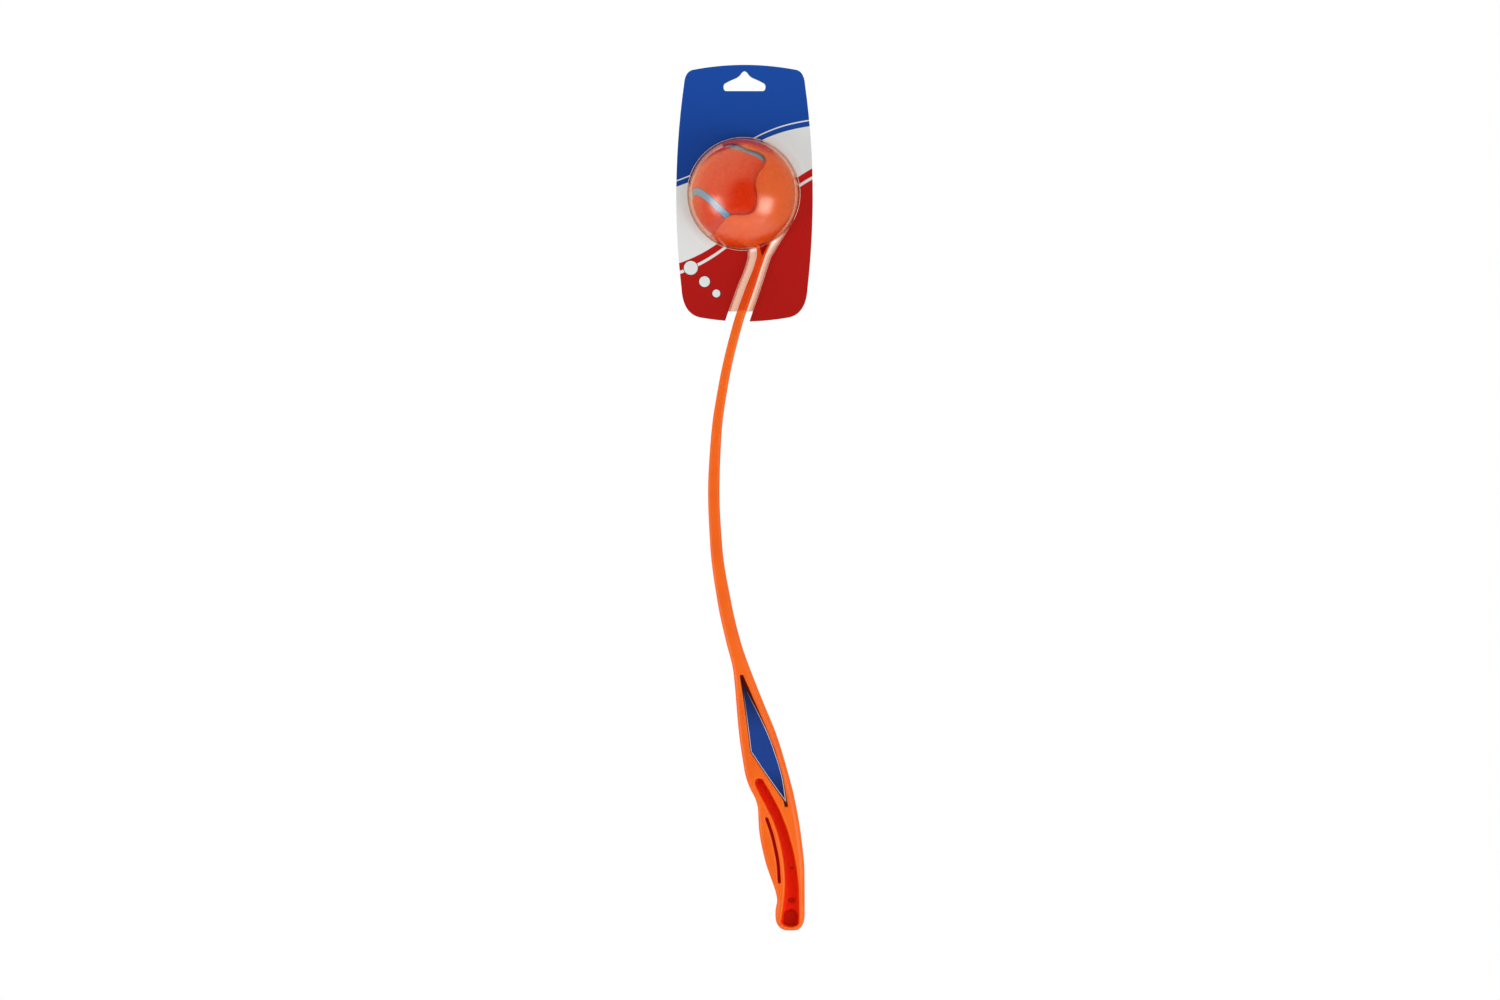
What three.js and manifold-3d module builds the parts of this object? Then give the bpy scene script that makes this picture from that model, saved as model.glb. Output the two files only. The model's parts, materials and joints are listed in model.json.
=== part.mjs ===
// Dog ball thrower in its shop packaging: a one-piece moulded arm with a ball cup and a cored handle, a felt
// ball in the cup, and a clear two-part blister held between two cards that hang from a slot.
// Units are millimetres and +Z is up. The origin is the top of the hanging slot, the arm's mid-plane is Y = 0
// and the front of the card faces -Y.

import * as THREE from "three";
import { mergeVertices } from "three/addons/utils/BufferGeometryUtils.js";
import Module from "manifold-3d";

const wasm = await Module();
wasm.setup();

// Ball
const ballRadius = 38.1;
const feltThickness = 2.2;
const seamWidth = 5.8;
const seamSink = 0.2;
const coreWall = 3.5;
const layerGap = 0.3;

// Thrower arm
const cupClearance = 0.5;
const cupWall = 2.6;
const armLength = 562;
const armReach = 73.8;
const stemDepth = 12;
const handleDepth = 22;
const buttDepth = 15;
const buttRounding = 10.7;
const stemCorner = 2.2;
const handleCorner = 4;
const rootWeb = 3.6;
const gripWeb = 6;
const endPocketWeb = 3;
const slitWeb = 5;
const slitWidth = 2.4;
const panelSink = 1.4;
const panelCorner = 1.6;
const rootPocketCorner = 0.8;
const labelThickness = 0.4;

// Blister
const blisterWall = 0.5;
const flangeThickness = 0.4;
const bubbleClearance = 1.3;
const bubbleSeatGap = 0.35;
const neckSideRoom = 5.4;
const neckTopRoom = 1.1;
const neckShift = 0.9;
const neckRounding = 3.2;
const neckStraight = 2.4;
const flangeBorder = 5.4;
const blisterInset = 7.8;

// Cards
const cardWidth = 104.2;
const cardHeight = 195.9;
const cardThickness = 0.5;
const cardTopBorder = 5;
const cardClearance = 0.35;
const slotWidth = 32;
const slotHeight = 15;
const hangToBall = 93.5;
const ballOffset = 2.3;

// Cuts run this far past the faces that they open
const overrun = 2;

// Facet counts
const ballSides = 28;
const cupSides = 32;
const bubbleSides = 32;
const bubbleRings = 7;
const seamSteps = 60;
const rimSteps = 72;
const grooveSteps = 16;
const capSteps = 6;
const cornerSteps = 2;
const buttSteps = 5;
const curveSteps = 5;

// Arm outline, as [down, across]: down is a share of the arm's length below the ball's centre, and across is
// a share of its reach to the right of it. The grip edge is on the finger side, the back edge on the other.
const gripEdgeShares = [
  [0.046, 0.06], [0.06, 0.1], [0.0734, 0.156], [0.082, 0.16], [0.0924, 0.144], [0.13, 0.036],
  [0.177, -0.088], [0.253, -0.2275], [0.329, -0.315], [0.405, -0.346], [0.481, -0.322], [0.557, -0.244],
  [0.606, -0.163], [0.644, -0.09], [0.6576, -0.0765], [0.731, -0.027], [0.77, 0.015], [0.788, 0.039],
  [0.804, 0.0786], [0.8234, 0.15], [0.834, 0.1686], [0.861, 0.18], [0.905, 0.244], [0.929, 0.305],
  [0.948, 0.354], [0.9606, 0.369], [0.975, 0.352], [1, 0.35],
];
const backEdgeShares = [
  [0.046, 0.384], [0.057, 0.342], [0.0625, 0.321], [0.0747, 0.274], [0.0924, 0.224], [0.13, 0.131],
  [0.177, 0.01], [0.253, -0.129], [0.329, -0.208], [0.405, -0.2275], [0.481, -0.1975], [0.557, -0.103],
  [0.611, -0.003], [0.644, 0.085], [0.6875, 0.215], [0.736, 0.365], [0.7745, 0.456], [0.823, 0.552],
  [0.872, 0.617], [0.921, 0.6515], [0.965, 0.6536], [1, 0.65],
];

// Where the butt's end lies across the handle, and how much of its width and depth is flat
const buttMiddleShare = 0.517;
const buttFlatShare = 0.25;

// Rings of the arm between pairs of shares of its length
const armRingSpans = [
  { fromShare: 0.046, toShare: 0.1, rings: 8 },
  { fromShare: 0.1, toShare: 0.62, rings: 17 },
  { fromShare: 0.62, toShare: 0.93, rings: 26 },
  { fromShare: 0.93, toShare: 1, rings: 8 },
];

// Depth and edge rounding of the arm, at shares of its length
const depthPlaces = [
  { share: 0.046, depth: stemDepth, corner: stemCorner },
  { share: 0.46, depth: stemDepth, corner: stemCorner },
  { share: 0.63, depth: handleDepth, corner: handleCorner },
  { share: 1, depth: handleDepth, corner: handleCorner },
];

// Side view of the cup's rim, upper lip to lower lip, as shares of the radius of the wall's either face: the
// wall is cut square, along lines from the ball's centre
const rimShares = [
  [-0.37, 0.929], [-0.349, 0.928], [-0.249, 0.957], [-0.129, 0.968], [-0.032, 0.92], [0.101, 0.843],
  [0.347, 0.76], [0.459, 0.637], [0.434, 0.484], [0.32, 0.326], [0.272, 0.139], [0.301, -0.099],
  [0.286, -0.297], [0.178, -0.425], [0, -0.449], [-0.208, -0.459], [-0.395, -0.622], [-0.542, -0.803],
  [-0.602, -0.799],
];

// Three-cornered pocket in the cup's root, as shares of the ball's radius
const rootPocketShares = [[0.33, -0.98], [0.59, -0.92], [0.415, -1.245]];

// Long four-sided panel in the handle and the label that lies in it, as [down, across] shares of the arm
const panelShares = [
  [0.6545, 0.025], [0.7195, 0.241], [0.7568, 0.3526], [0.791, 0.4292], [0.832, 0.484],
  [0.832, 0.445], [0.8234, 0.431], [0.7912, 0.2637], [0.7575, 0.09], [0.7265, 0.061], [0.6889, 0.0217],
  [0.6545, -0.02],
];
const labelShares = [
  [0.6617, 0.0062], [0.721, 0.2335], [0.758, 0.345], [0.7915, 0.4205], [0.8255, 0.461],
  [0.7912, 0.274], [0.757, 0.0985], [0.7265, 0.0695], [0.6896, 0.032],
];

// Curved grip channel, its deeper end pocket and the slit beside it, as [down, across, half width]
const channelShares = [
  [0.7995, 0.1855, 0.0465], [0.8155, 0.25, 0.0525], [0.8315, 0.316, 0.0525], [0.848, 0.3745, 0.0515],
  [0.872, 0.4385, 0.0535], [0.905, 0.495, 0.06], [0.9375, 0.519, 0.0695], [0.97, 0.513, 0.084],
  [0.9875, 0.502, 0.095],
];
const endPocketShares = [[0.981, 0.512, 0.073], [0.9885, 0.507, 0.077]];
const slitLineShares = [[0.8478, 0.2606], [0.8723, 0.3216], [0.905, 0.3744], [0.9335, 0.391]];
const channelEndShare = 0.6;

// A rounded corner takes up at most this share of each side beside it
const cornerSideShare = 0.45;

// Direction from the bubble's centre to where the neck's hood meets it, and how far outside the cup's radius
// the cut that opens its mouth runs
const hoodShares = [0.885, -0.465];
const mouthFarShare = 3;

// Seam curve: shares of the radius in the curve of a ball's seam, and the way that the ball lies
const seamMainShare = 0.795;
const seamBendShare = 0.205;
const seamAxis = new THREE.Vector3(-0.687, -0.409, 0.601);
const seamLobe = new THREE.Vector3(0.432, -0.894, -0.114);

// Card outline and hanging slot, right half from top to bottom, as [across, down] shares of half the width
// and the height: each row is a control point and the end of its curve
const cardCurveShares = [
  [[0.38, 0], [0.76, 0.0195]], [[0.872, 0.027], [0.887, 0.075]], [[1.094, 0.47], [0.925, 0.87]],
  [[0.905, 0.968], [0.66, 0.984]], [[0.33, 1], [0, 1]],
];
const slotCurveShares = [
  [[0.08, 0], [0.16, 0.12]], [[0.24, 0.27], [0.42, 0.36]], [[0.7, 0.48], [0.9, 0.6]],
  [[1, 0.66], [1, 0.78]], [[1, 1], [0.86, 1]], [[0.4, 1], [0, 1]],
];

// Sizes that follow from the ones above
const cupInner = ballRadius + cupClearance;
const cupOuter = cupInner + cupWall;
const bubbleInner = cupOuter + bubbleClearance;
const bubbleOuter = bubbleInner + blisterWall;
const coreRadius = ballRadius - feltThickness - layerGap;
const ballX = -ballOffset;
const ballZ = -hangToBall;
const lowerLip = new THREE.Vector2(...rimShares[rimShares.length - 1]).normalize();
const bubbleX = ballX - (bubbleClearance - bubbleSeatGap) / lowerLip.x;
const cardTop = cardTopBorder;
const cardBottom = cardTop - cardHeight;
const blisterEnd = cardBottom + blisterInset;
const panelWeb = handleDepth - 2 * panelSink;

// Solid from a closed three.js geometry
function solid(geometry) {
  const bare = geometry.clone();
  bare.deleteAttribute("normal");
  bare.deleteAttribute("uv");
  const merged = mergeVertices(bare);
  const corners = merged.index.array;
  const kept = [];
  for (let i = 0; i < corners.length; i += 3) {
    const [a, b, c] = corners.slice(i, i + 3);
    if (a !== b && b !== c && c !== a) {
      kept.push(a, b, c);
    }
  }
  return new wasm.Manifold(new wasm.Mesh({
    numProp: 3,
    vertProperties: new Float32Array(merged.attributes.position.array),
    triVerts: new Uint32Array(kept),
  }));
}

// three.js geometry from a solid
function geometryOf(body) {
  const mesh = body.getMesh();
  const geometry = new THREE.BufferGeometry();
  geometry.setAttribute("position", new THREE.BufferAttribute(mesh.vertProperties, 3));
  geometry.setIndex(new THREE.BufferAttribute(mesh.triVerts, 1));
  geometry.computeVertexNormals();
  return geometry;
}

// The same geometry on the other side of the mid-plane
function mirrored(geometry) {
  const copy = geometry.clone();
  copy.scale(1, -1, 1);
  const corners = copy.index.array;
  for (let i = 0; i < corners.length; i += 3) {
    [corners[i], corners[i + 1]] = [corners[i + 1], corners[i]];
  }
  copy.computeVertexNormals();
  return copy;
}

// Solid between two depths, from an outline of [x, z] points
function prism(outline, fromY, toY) {
  const shape = new THREE.Shape(outline);
  const geometry = new THREE.ExtrudeGeometry(shape, { depth: toY - fromY, bevelEnabled: false });
  const place = geometry.attributes.position;
  for (let i = 0; i < place.count; i += 1) {
    const atStart = place.getZ(i) === 0;
    place.setXYZ(i, place.getX(i), atStart ? toY : fromY, place.getY(i));
  }
  return solid(geometry);
}

// Solid on both sides of the mid-plane whose outline draws in towards its two faces, as a formed sheet does
function crownedPrism(outline, halfHeight, rounding) {
  const geometry = new THREE.ExtrudeGeometry(new THREE.Shape(outline), {
    depth: neckStraight,
    bevelThickness: halfHeight - neckStraight / 2,
    bevelSize: rounding,
    bevelOffset: -rounding,
    bevelSegments: cornerSteps,
  });
  geometry.translate(0, 0, -neckStraight / 2);
  const place = geometry.attributes.position;
  for (let i = 0; i < place.count; i += 1) {
    place.setXYZ(i, place.getX(i), -place.getZ(i), place.getY(i));
  }
  return solid(geometry);
}

// Ball-shaped solid with its poles on the Y axis
function sphere(radius, sides, x, z) {
  const geometry = new THREE.SphereGeometry(radius, sides, sides / 2);
  geometry.translate(x, 0, z);
  return solid(geometry);
}

// Half ball on the -Y side with a straight skirt, closed at the far end of the skirt
function dome(radius, skirt, sides, rings, x, z) {
  const profile = [];
  for (let ring = 0; ring <= rings; ring += 1) {
    const angle = ring / rings * Math.PI / 2;
    profile.push(new THREE.Vector2(radius * Math.sin(angle), -radius * Math.cos(angle)));
  }
  profile[0].x = 0;
  profile.push(new THREE.Vector2(radius, skirt), new THREE.Vector2(0, skirt));
  const geometry = new THREE.LatheGeometry(profile, sides);
  geometry.translate(x, 0, z);
  return solid(geometry);
}

// Box on one side of the mid-plane that holds the whole object
function frontHalf() {
  const reach = armLength + cardHeight;
  const square = [[-reach, -reach], [reach, -reach], [reach, reach], [-reach, reach]];
  return prism(square.map(([x, z]) => new THREE.Vector2(x, z)), -reach, 0);
}

// Smooth curve through [place, value] rows that never overshoots them
function curveThrough(rows) {
  const slopes = rows.map((row, index) => {
    const before = rows[index - 1] ?? row;
    const after = rows[index + 1] ?? row;
    if (before === row || after === row) {
      return (after[1] - before[1]) / (after[0] - before[0]);
    }
    const rise = (row[1] - before[1]) / (row[0] - before[0]);
    const run = (after[1] - row[1]) / (after[0] - row[0]);
    return rise * run > 0 ? 2 * rise * run / (rise + run) : 0;
  });
  return place => {
    let i = 0;
    while (i < rows.length - 2 && place > rows[i + 1][0]) {
      i += 1;
    }
    const span = rows[i + 1][0] - rows[i][0];
    const t = (place - rows[i][0]) / span;
    const s = 1 - t;
    return rows[i][1] * s * s * (1 + 2 * t) + rows[i + 1][1] * t * t * (3 - 2 * t)
      + span * s * t * (slopes[i] * s - slopes[i + 1] * t);
  };
}

const gripEdge = curveThrough(gripEdgeShares);
const backEdge = curveThrough(backEdgeShares);
const depthAlong = curveThrough(depthPlaces.map(place => [place.share, place.depth]));
const cornerAlong = curveThrough(depthPlaces.map(place => [place.share, place.corner]));

// Place on the arm's side view
function armPoint(down, across) {
  return new THREE.Vector2(ballX + across * armReach, ballZ - down * armLength);
}

// Place near the ball's centre
function ballPoint(across, up) {
  return new THREE.Vector2(ballX + across * ballRadius, ballZ + up * ballRadius);
}

// Closed surface through a stack of rings of the same count, from the top down
function loft(rings) {
  const count = rings[0].length;
  const places = rings.flat();
  const corners = [];
  rings.slice(1).forEach((ring, level) => {
    for (let j = 0; j < count; j += 1) {
      const next = (j + 1) % count;
      const upper = level * count;
      const lower = upper + count;
      corners.push(upper + j, lower + j, lower + next, upper + j, lower + next, upper + next);
    }
  });
  const last = places.length - count;
  for (let j = 1; j < count - 1; j += 1) {
    corners.push(0, j, j + 1, last, last + j + 1, last + j);
  }
  const geometry = new THREE.BufferGeometry().setFromPoints(places);
  geometry.setIndex(corners);
  return solid(geometry);
}

// Rounded box section of the arm, counter-clockwise from above. It draws in towards the butt's middle by a
// squeeze from 1, none, to 0.
function armRing(share, squeeze = 1) {
  const middle = armPoint(share, buttMiddleShare);
  const left = middle.clone().lerp(armPoint(share, gripEdge(share)), squeeze);
  const right = middle.clone().lerp(armPoint(share, backEdge(share)), squeeze);
  const halfWidth = (right.x - left.x) / 2;
  const halfDepth = (buttDepth + (depthAlong(share) - buttDepth) * squeeze) / 2;
  const corner = Math.min(cornerAlong(share), halfWidth, halfDepth);
  const ring = [];
  for (let quarter = 0; quarter < 4; quarter += 1) {
    for (let step = 0; step <= cornerSteps; step += 1) {
      const angle = (quarter + step / cornerSteps) * Math.PI / 2;
      const sideX = quarter === 0 || quarter === 3 ? 1 : -1;
      const sideY = quarter < 2 ? 1 : -1;
      ring.push(new THREE.Vector3(
        left.x + halfWidth + sideX * (halfWidth - corner) + corner * Math.cos(angle),
        sideY * (halfDepth - corner) + corner * Math.sin(angle),
        left.y,
      ));
    }
  }
  return ring;
}

// Outline whose corners are rounded, each by a short curve
function roundedOutline(points, radius) {
  const path = new THREE.Path();
  points.forEach((point, index) => {
    const before = points.at(index - 1).clone().sub(point);
    const after = points[(index + 1) % points.length].clone().sub(point);
    const [start, end] = [before, after].map(side => {
      return side.clone().setLength(Math.min(radius, side.length() * cornerSideShare)).add(point);
    });
    if (index === 0) {
      path.moveTo(start.x, start.y);
    } else {
      path.lineTo(start.x, start.y);
    }
    path.quadraticCurveTo(point.x, point.y, end.x, end.y);
  });
  return path.getPoints(cornerSteps);
}

// Outline of a groove that follows a line of [down, across, half width] rows, with a rounded start and end
function grooveOutline(rows, endRounding) {
  const line = new THREE.SplineCurve(rows.map(([down, across]) => armPoint(down, across)));
  const half = curveThrough(rows.map((row, index) => [index / (rows.length - 1), row[2]]));
  const right = [];
  const left = [];
  for (let step = 0; step <= grooveSteps; step += 1) {
    const t = step / grooveSteps;
    const forward = line.getTangent(t);
    const sideways = new THREE.Vector2(-forward.y, forward.x).multiplyScalar(half(t));
    right.push(line.getPoint(t).add(sideways));
    left.unshift(line.getPoint(t).sub(sideways));
  }
  const cap = (t, outward, roundness) => {
    const forward = line.getTangent(t).multiplyScalar(outward);
    const sideways = new THREE.Vector2(-forward.y, forward.x);
    const points = [];
    for (let step = 1; step < capSteps; step += 1) {
      const angle = step / capSteps * Math.PI;
      const point = line.getPoint(t);
      point.addScaledVector(sideways, half(t) * Math.cos(angle));
      point.addScaledVector(forward, half(t) * roundness * Math.sin(angle));
      points.push(point);
    }
    return points;
  };
  return [...right, ...cap(1, 1, endRounding), ...left, ...cap(0, -1, 1)];
}

// Both halves of a symmetric outline from the curves of its right half
function mirroredOutline(curves, halfWidth, height, topZ) {
  const path = new THREE.Path();
  path.moveTo(0, topZ);
  curves.forEach(([control, end]) => {
    path.quadraticCurveTo(
      control[0] * halfWidth, topZ - control[1] * height, end[0] * halfWidth, topZ - end[1] * height,
    );
  });
  const right = path.getPoints(curveSteps);
  const left = right.slice(1, -1).map(point => new THREE.Vector2(-point.x, point.y));
  return [...right, ...left.reverse()];
}

// The same cut into both sides of the arm, down to a web in the middle
function cutBothSides(body, outline, web) {
  const outside = handleDepth / 2 + overrun;
  return body
    .subtract(prism(outline, web / 2, outside))
    .subtract(prism(outline, -outside, -web / 2));
}

// Everything that the cup's mouth looks out on: a cone from the ball's centre through the rim, which cuts the
// wall square all round
function cupMouth() {
  const front = rimShares.map(([across, up], index) => {
    const atTip = index === 0 || index === rimShares.length - 1;
    const depth = atTip ? 0 : Math.sqrt(1 - across * across - up * up);
    return new THREE.Vector3(across, -depth, up);
  });
  const rear = front.slice(1, -1).map(point => new THREE.Vector3(point.x, -point.y, point.z));
  const loop = new THREE.CatmullRomCurve3([...front, ...rear.reverse()], true);
  const rim = loop.getPoints(rimSteps).slice(0, -1);
  const far = cupOuter * mouthFarShare;
  const centre = new THREE.Vector3(ballX, 0, ballZ);
  const places = rim.map(point => point.setLength(far).add(centre));
  const corners = [];
  rim.forEach((point, index) => {
    const next = (index + 1) % rim.length;
    corners.push(rim.length, index, next, rim.length + 1, next, index);
  });
  const outward = new THREE.Vector3(ballX - far, 0, ballZ);
  const geometry = new THREE.BufferGeometry().setFromPoints([...places, centre, outward]);
  geometry.setIndex(corners);
  return solid(geometry);
}

// One-piece moulding: scalloped cup, forked root, tapering stem and cored handle
function throwerArm() {
  const bowl = sphere(cupInner, cupSides, ballX, ballZ);
  const outside = sphere(cupOuter, cupSides, ballX, ballZ);
  const cup = outside.subtract(bowl).subtract(cupMouth());

  const rings = [];
  const buttShare = 1 - buttRounding / armLength;
  armRingSpans.forEach(({ fromShare, toShare, rings: count }) => {
    const end = Math.min(toShare, buttShare);
    for (let step = 0; step < count; step += 1) {
      rings.push(armRing(fromShare + (end - fromShare) * step / count));
    }
  });
  for (let step = 0; step <= buttSteps; step += 1) {
    const angle = step / buttSteps * Math.PI / 2;
    const squeeze = buttFlatShare + (1 - buttFlatShare) * Math.cos(angle);
    rings.push(armRing(buttShare + (1 - buttShare) * Math.sin(angle), squeeze));
  }
  let arm = loft(rings);

  const rootPocket = roundedOutline(rootPocketShares.map(share => ballPoint(...share)), rootPocketCorner);
  arm = cutBothSides(arm, rootPocket, rootWeb);
  arm = arm.subtract(bowl).add(cup);
  const panel = roundedOutline(panelShares.map(share => armPoint(...share)), panelCorner);
  arm = cutBothSides(arm, panel, panelWeb);
  const scaled = rows => rows.map(([down, reach, half]) => [down, reach, half * armReach]);
  arm = cutBothSides(arm, grooveOutline(scaled(channelShares), channelEndShare), gripWeb);
  arm = cutBothSides(arm, grooveOutline(scaled(endPocketShares), channelEndShare), endPocketWeb);
  const slit = slitLineShares.map(([down, reach]) => [down, reach, slitWidth / 2]);
  return geometryOf(cutBothSides(arm, grooveOutline(slit, 1), slitWeb));
}

// Thin label on the floor of the front panel
function handleLabel() {
  const outline = labelShares.map(share => armPoint(...share));
  return geometryOf(prism(outline, -panelWeb / 2 - labelThickness, -panelWeb / 2));
}

// Half of the ball's hollow rubber core, on the -Y side
function coreHalf() {
  const shell = dome(coreRadius, overrun, ballSides, ballSides / 4, 0, 0)
    .subtract(dome(coreRadius - coreWall, 2 * overrun, ballSides, ballSides / 4, 0, 0));
  return geometryOf(shell.intersect(frontHalf()));
}

// Band round the ball along its seam, between two radii
function seamBand(inner, outer, width) {
  const lobeX = new THREE.Vector3().crossVectors(seamLobe, seamAxis).normalize();
  const axis = seamAxis.clone().normalize();
  const lobe = new THREE.Vector3().crossVectors(axis, lobeX);
  const twist = 2 * Math.sqrt(seamMainShare * seamBendShare);
  const direction = turn => {
    const first = seamMainShare * Math.cos(turn) + seamBendShare * Math.cos(3 * turn);
    const second = seamMainShare * Math.sin(turn) - seamBendShare * Math.sin(3 * turn);
    const point = axis.clone().multiplyScalar(twist * Math.sin(2 * turn));
    point.addScaledVector(lobe, (first - second) / Math.SQRT2);
    return point.addScaledVector(lobeX, (first + second) / Math.SQRT2);
  };
  const halfAngle = width / 2 / ballRadius;
  const places = [];
  const corners = [];
  for (let step = 0; step < seamSteps; step += 1) {
    const turn = step / seamSteps * 2 * Math.PI;
    const small = Math.PI / seamSteps;
    const out = direction(turn).normalize();
    const along = direction(turn + small).sub(direction(turn - small));
    const side = new THREE.Vector3().crossVectors(out, along).normalize();
    [[inner, -1], [outer, -1], [outer, 1], [inner, 1]].forEach(([radius, hand]) => {
      const place = out.clone().multiplyScalar(radius * Math.cos(halfAngle));
      places.push(place.addScaledVector(side, hand * radius * Math.sin(halfAngle)));
    });
    for (let j = 0; j < 4; j += 1) {
      const here = 4 * step;
      const next = 4 * ((step + 1) % seamSteps);
      const k = (j + 1) % 4;
      corners.push(here + j, next + j, next + k, here + j, next + k, here + k);
    }
  }
  const geometry = new THREE.BufferGeometry().setFromPoints(places);
  geometry.setIndex(corners);
  return geometry;
}

// The two felt panels, each shaped like a dog bone and wrapped round half of the ball
function feltPanels() {
  const shell = sphere(ballRadius, ballSides, 0, 0)
    .subtract(sphere(ballRadius - feltThickness, ballSides, 0, 0));
  const wall = seamBand(coreRadius - overrun, ballRadius + overrun, seamWidth + 2 * layerGap);
  return shell.subtract(solid(wall)).decompose().map(geometryOf);
}

// Outline of the blister's neck, made wider or narrower by a margin, with a hood that runs on to the bubble
function neckOutline(margin) {
  const neckTop = ballZ - bubbleOuter - neckSideRoom;
  const foot = cardBottom - overrun - neckRounding;
  const levels = [];
  for (let step = 0; step <= curveSteps; step += 1) {
    levels.push(neckTop + (foot - neckTop) * step / curveSteps);
  }
  const room = neckSideRoom + margin;
  const edge = (z, curve, room) => {
    const share = (ballZ - z) / armLength;
    return new THREE.Vector2(armPoint(share, curve(share)).x - neckShift + room, z);
  };
  const left = levels.map(z => edge(z, gripEdge, -room));
  const right = levels.map(z => edge(z, backEdge, room));
  const tangent = new THREE.Vector2(...hoodShares).setLength(bubbleOuter + margin);
  return [
    new THREE.Vector2(bubbleX, ballZ),
    new THREE.Vector2(left[0].x, neckTop + neckSideRoom),
    ...left,
    ...right.reverse(),
    tangent.add(new THREE.Vector2(bubbleX, ballZ)),
  ];
}

// Disc outline round the bubble
function bubbleDisc(radius) {
  const path = new THREE.Path();
  path.absarc(bubbleX, ballZ, radius, 0, 2 * Math.PI);
  return path.getSpacedPoints(bubbleSides).slice(0, -1);
}

// Front half of the blister: bubble, neck and the flat flange that the cards trap
function blisterHalf() {
  const neckHeight = stemDepth / 2 + neckTopRoom;
  const outer = dome(bubbleOuter, overrun, bubbleSides, bubbleRings, bubbleX, ballZ)
    .add(crownedPrism(neckOutline(0), neckHeight + blisterWall, neckRounding))
    .add(prism(bubbleDisc(bubbleOuter + flangeBorder), -flangeThickness, 0))
    .add(prism(neckOutline(flangeBorder), -flangeThickness, 0));
  const inner = dome(bubbleInner, 2 * overrun, bubbleSides, bubbleRings, bubbleX, ballZ)
    .add(crownedPrism(neckOutline(-blisterWall), neckHeight, neckRounding));
  const below = armLength;
  const side = armLength;
  const past = [[-side, blisterEnd], [-side, -below], [side, -below], [side, blisterEnd]];
  const cutoff = prism(past.map(([x, z]) => new THREE.Vector2(x, z)), -bubbleOuter - overrun, overrun);
  return geometryOf(outer.subtract(inner).subtract(cutoff).intersect(frontHalf()));
}

// Front card, with the keyhole for the blister and the slot that it hangs from
function cardPly() {
  const back = -flangeThickness;
  const front = back - cardThickness;
  const cut = outline => prism(outline, front - overrun, back + overrun);
  const outline = mirroredOutline(cardCurveShares, cardWidth / 2, cardHeight, cardTop);
  return geometryOf(prism(outline, front, back)
    .subtract(cut(bubbleDisc(bubbleOuter + cardClearance)))
    .subtract(cut(neckOutline(cardClearance)))
    .subtract(cut(mirroredOutline(slotCurveShares, slotWidth / 2, slotHeight, 0))));
}

function material(color, roughness, extra = {}) {
  return new THREE.MeshStandardMaterial({ color, roughness, metalness: 0, ...extra });
}

const orangePlastic = material(0xf26a1b, 0.38);
const labelFilm = material(0x173f86, 0.3);
const blackRubber = material(0x2a2a2c, 0.8);
const orangeFelt = material(0xee5a1c, 0.95);
const blueRubber = material(0x7fb0c8, 0.7);
const printedCard = material(0x1a4392, 0.45);
const clearPlastic = material(0xeef3f5, 0.08, { transparent: true, opacity: 0.25 });

function add(group, name, geometry, finish) {
  const mesh = new THREE.Mesh(geometry, finish);
  mesh.name = name;
  group.add(mesh);
}

const thrower = new THREE.Group();
add(thrower, "thrower_arm", throwerArm(), orangePlastic);
add(thrower, "handle_label", handleLabel(), labelFilm);

const ball = new THREE.Group();
ball.position.set(ballX, 0, ballZ);
thrower.add(ball);
const core = coreHalf();
add(ball, "ball_core_half_a", core, blackRubber);
add(ball, "ball_core_half_b", mirrored(core), blackRubber);
const [panelA, panelB] = feltPanels();
add(ball, "felt_panel_a", panelA, orangeFelt);
add(ball, "felt_panel_b", panelB, orangeFelt);
const seamBottom = ballRadius - feltThickness;
add(ball, "ball_seam", seamBand(seamBottom, ballRadius - seamSink, seamWidth), blueRubber);

const ply = cardPly();
add(thrower, "card_front", ply, printedCard);
add(thrower, "card_rear", mirrored(ply), printedCard);
const blister = blisterHalf();
add(thrower, "blister_front", blister, clearPlastic);
add(thrower, "blister_rear", mirrored(blister), clearPlastic);

export default thrower;
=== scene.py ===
# Looks for a dog ball thrower in its hanging pack: an orange one-piece moulding, a felt ball with
# a pale rubber seam, a clear formed blister and two printed boards. Lengths are in millimetres
# until a mesh is made, and in metres in the materials' nodes.

import json
import math

import bmesh
import bpy
import numpy as np
import openvdb
from mathutils import Matrix, Vector, geometry, noise

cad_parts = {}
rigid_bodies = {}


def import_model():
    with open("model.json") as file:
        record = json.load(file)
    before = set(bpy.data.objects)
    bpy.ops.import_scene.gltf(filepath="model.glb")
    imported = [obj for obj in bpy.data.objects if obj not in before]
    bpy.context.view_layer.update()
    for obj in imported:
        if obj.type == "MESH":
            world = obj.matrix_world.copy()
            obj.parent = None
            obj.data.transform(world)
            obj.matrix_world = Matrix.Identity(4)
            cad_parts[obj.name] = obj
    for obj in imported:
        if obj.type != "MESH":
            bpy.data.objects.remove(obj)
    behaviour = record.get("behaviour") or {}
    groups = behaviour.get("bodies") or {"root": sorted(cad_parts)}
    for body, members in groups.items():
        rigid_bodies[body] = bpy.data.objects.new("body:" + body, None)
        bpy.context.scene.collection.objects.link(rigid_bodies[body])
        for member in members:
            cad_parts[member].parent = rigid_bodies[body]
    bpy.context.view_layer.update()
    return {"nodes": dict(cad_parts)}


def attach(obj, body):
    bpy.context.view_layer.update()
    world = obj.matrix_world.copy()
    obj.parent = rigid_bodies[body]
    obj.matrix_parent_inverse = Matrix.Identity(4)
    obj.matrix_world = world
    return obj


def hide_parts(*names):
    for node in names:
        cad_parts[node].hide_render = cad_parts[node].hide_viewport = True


for leftover in list(bpy.data.objects):
    bpy.data.objects.remove(leftover)
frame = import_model()

METRES = 0.001

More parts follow.
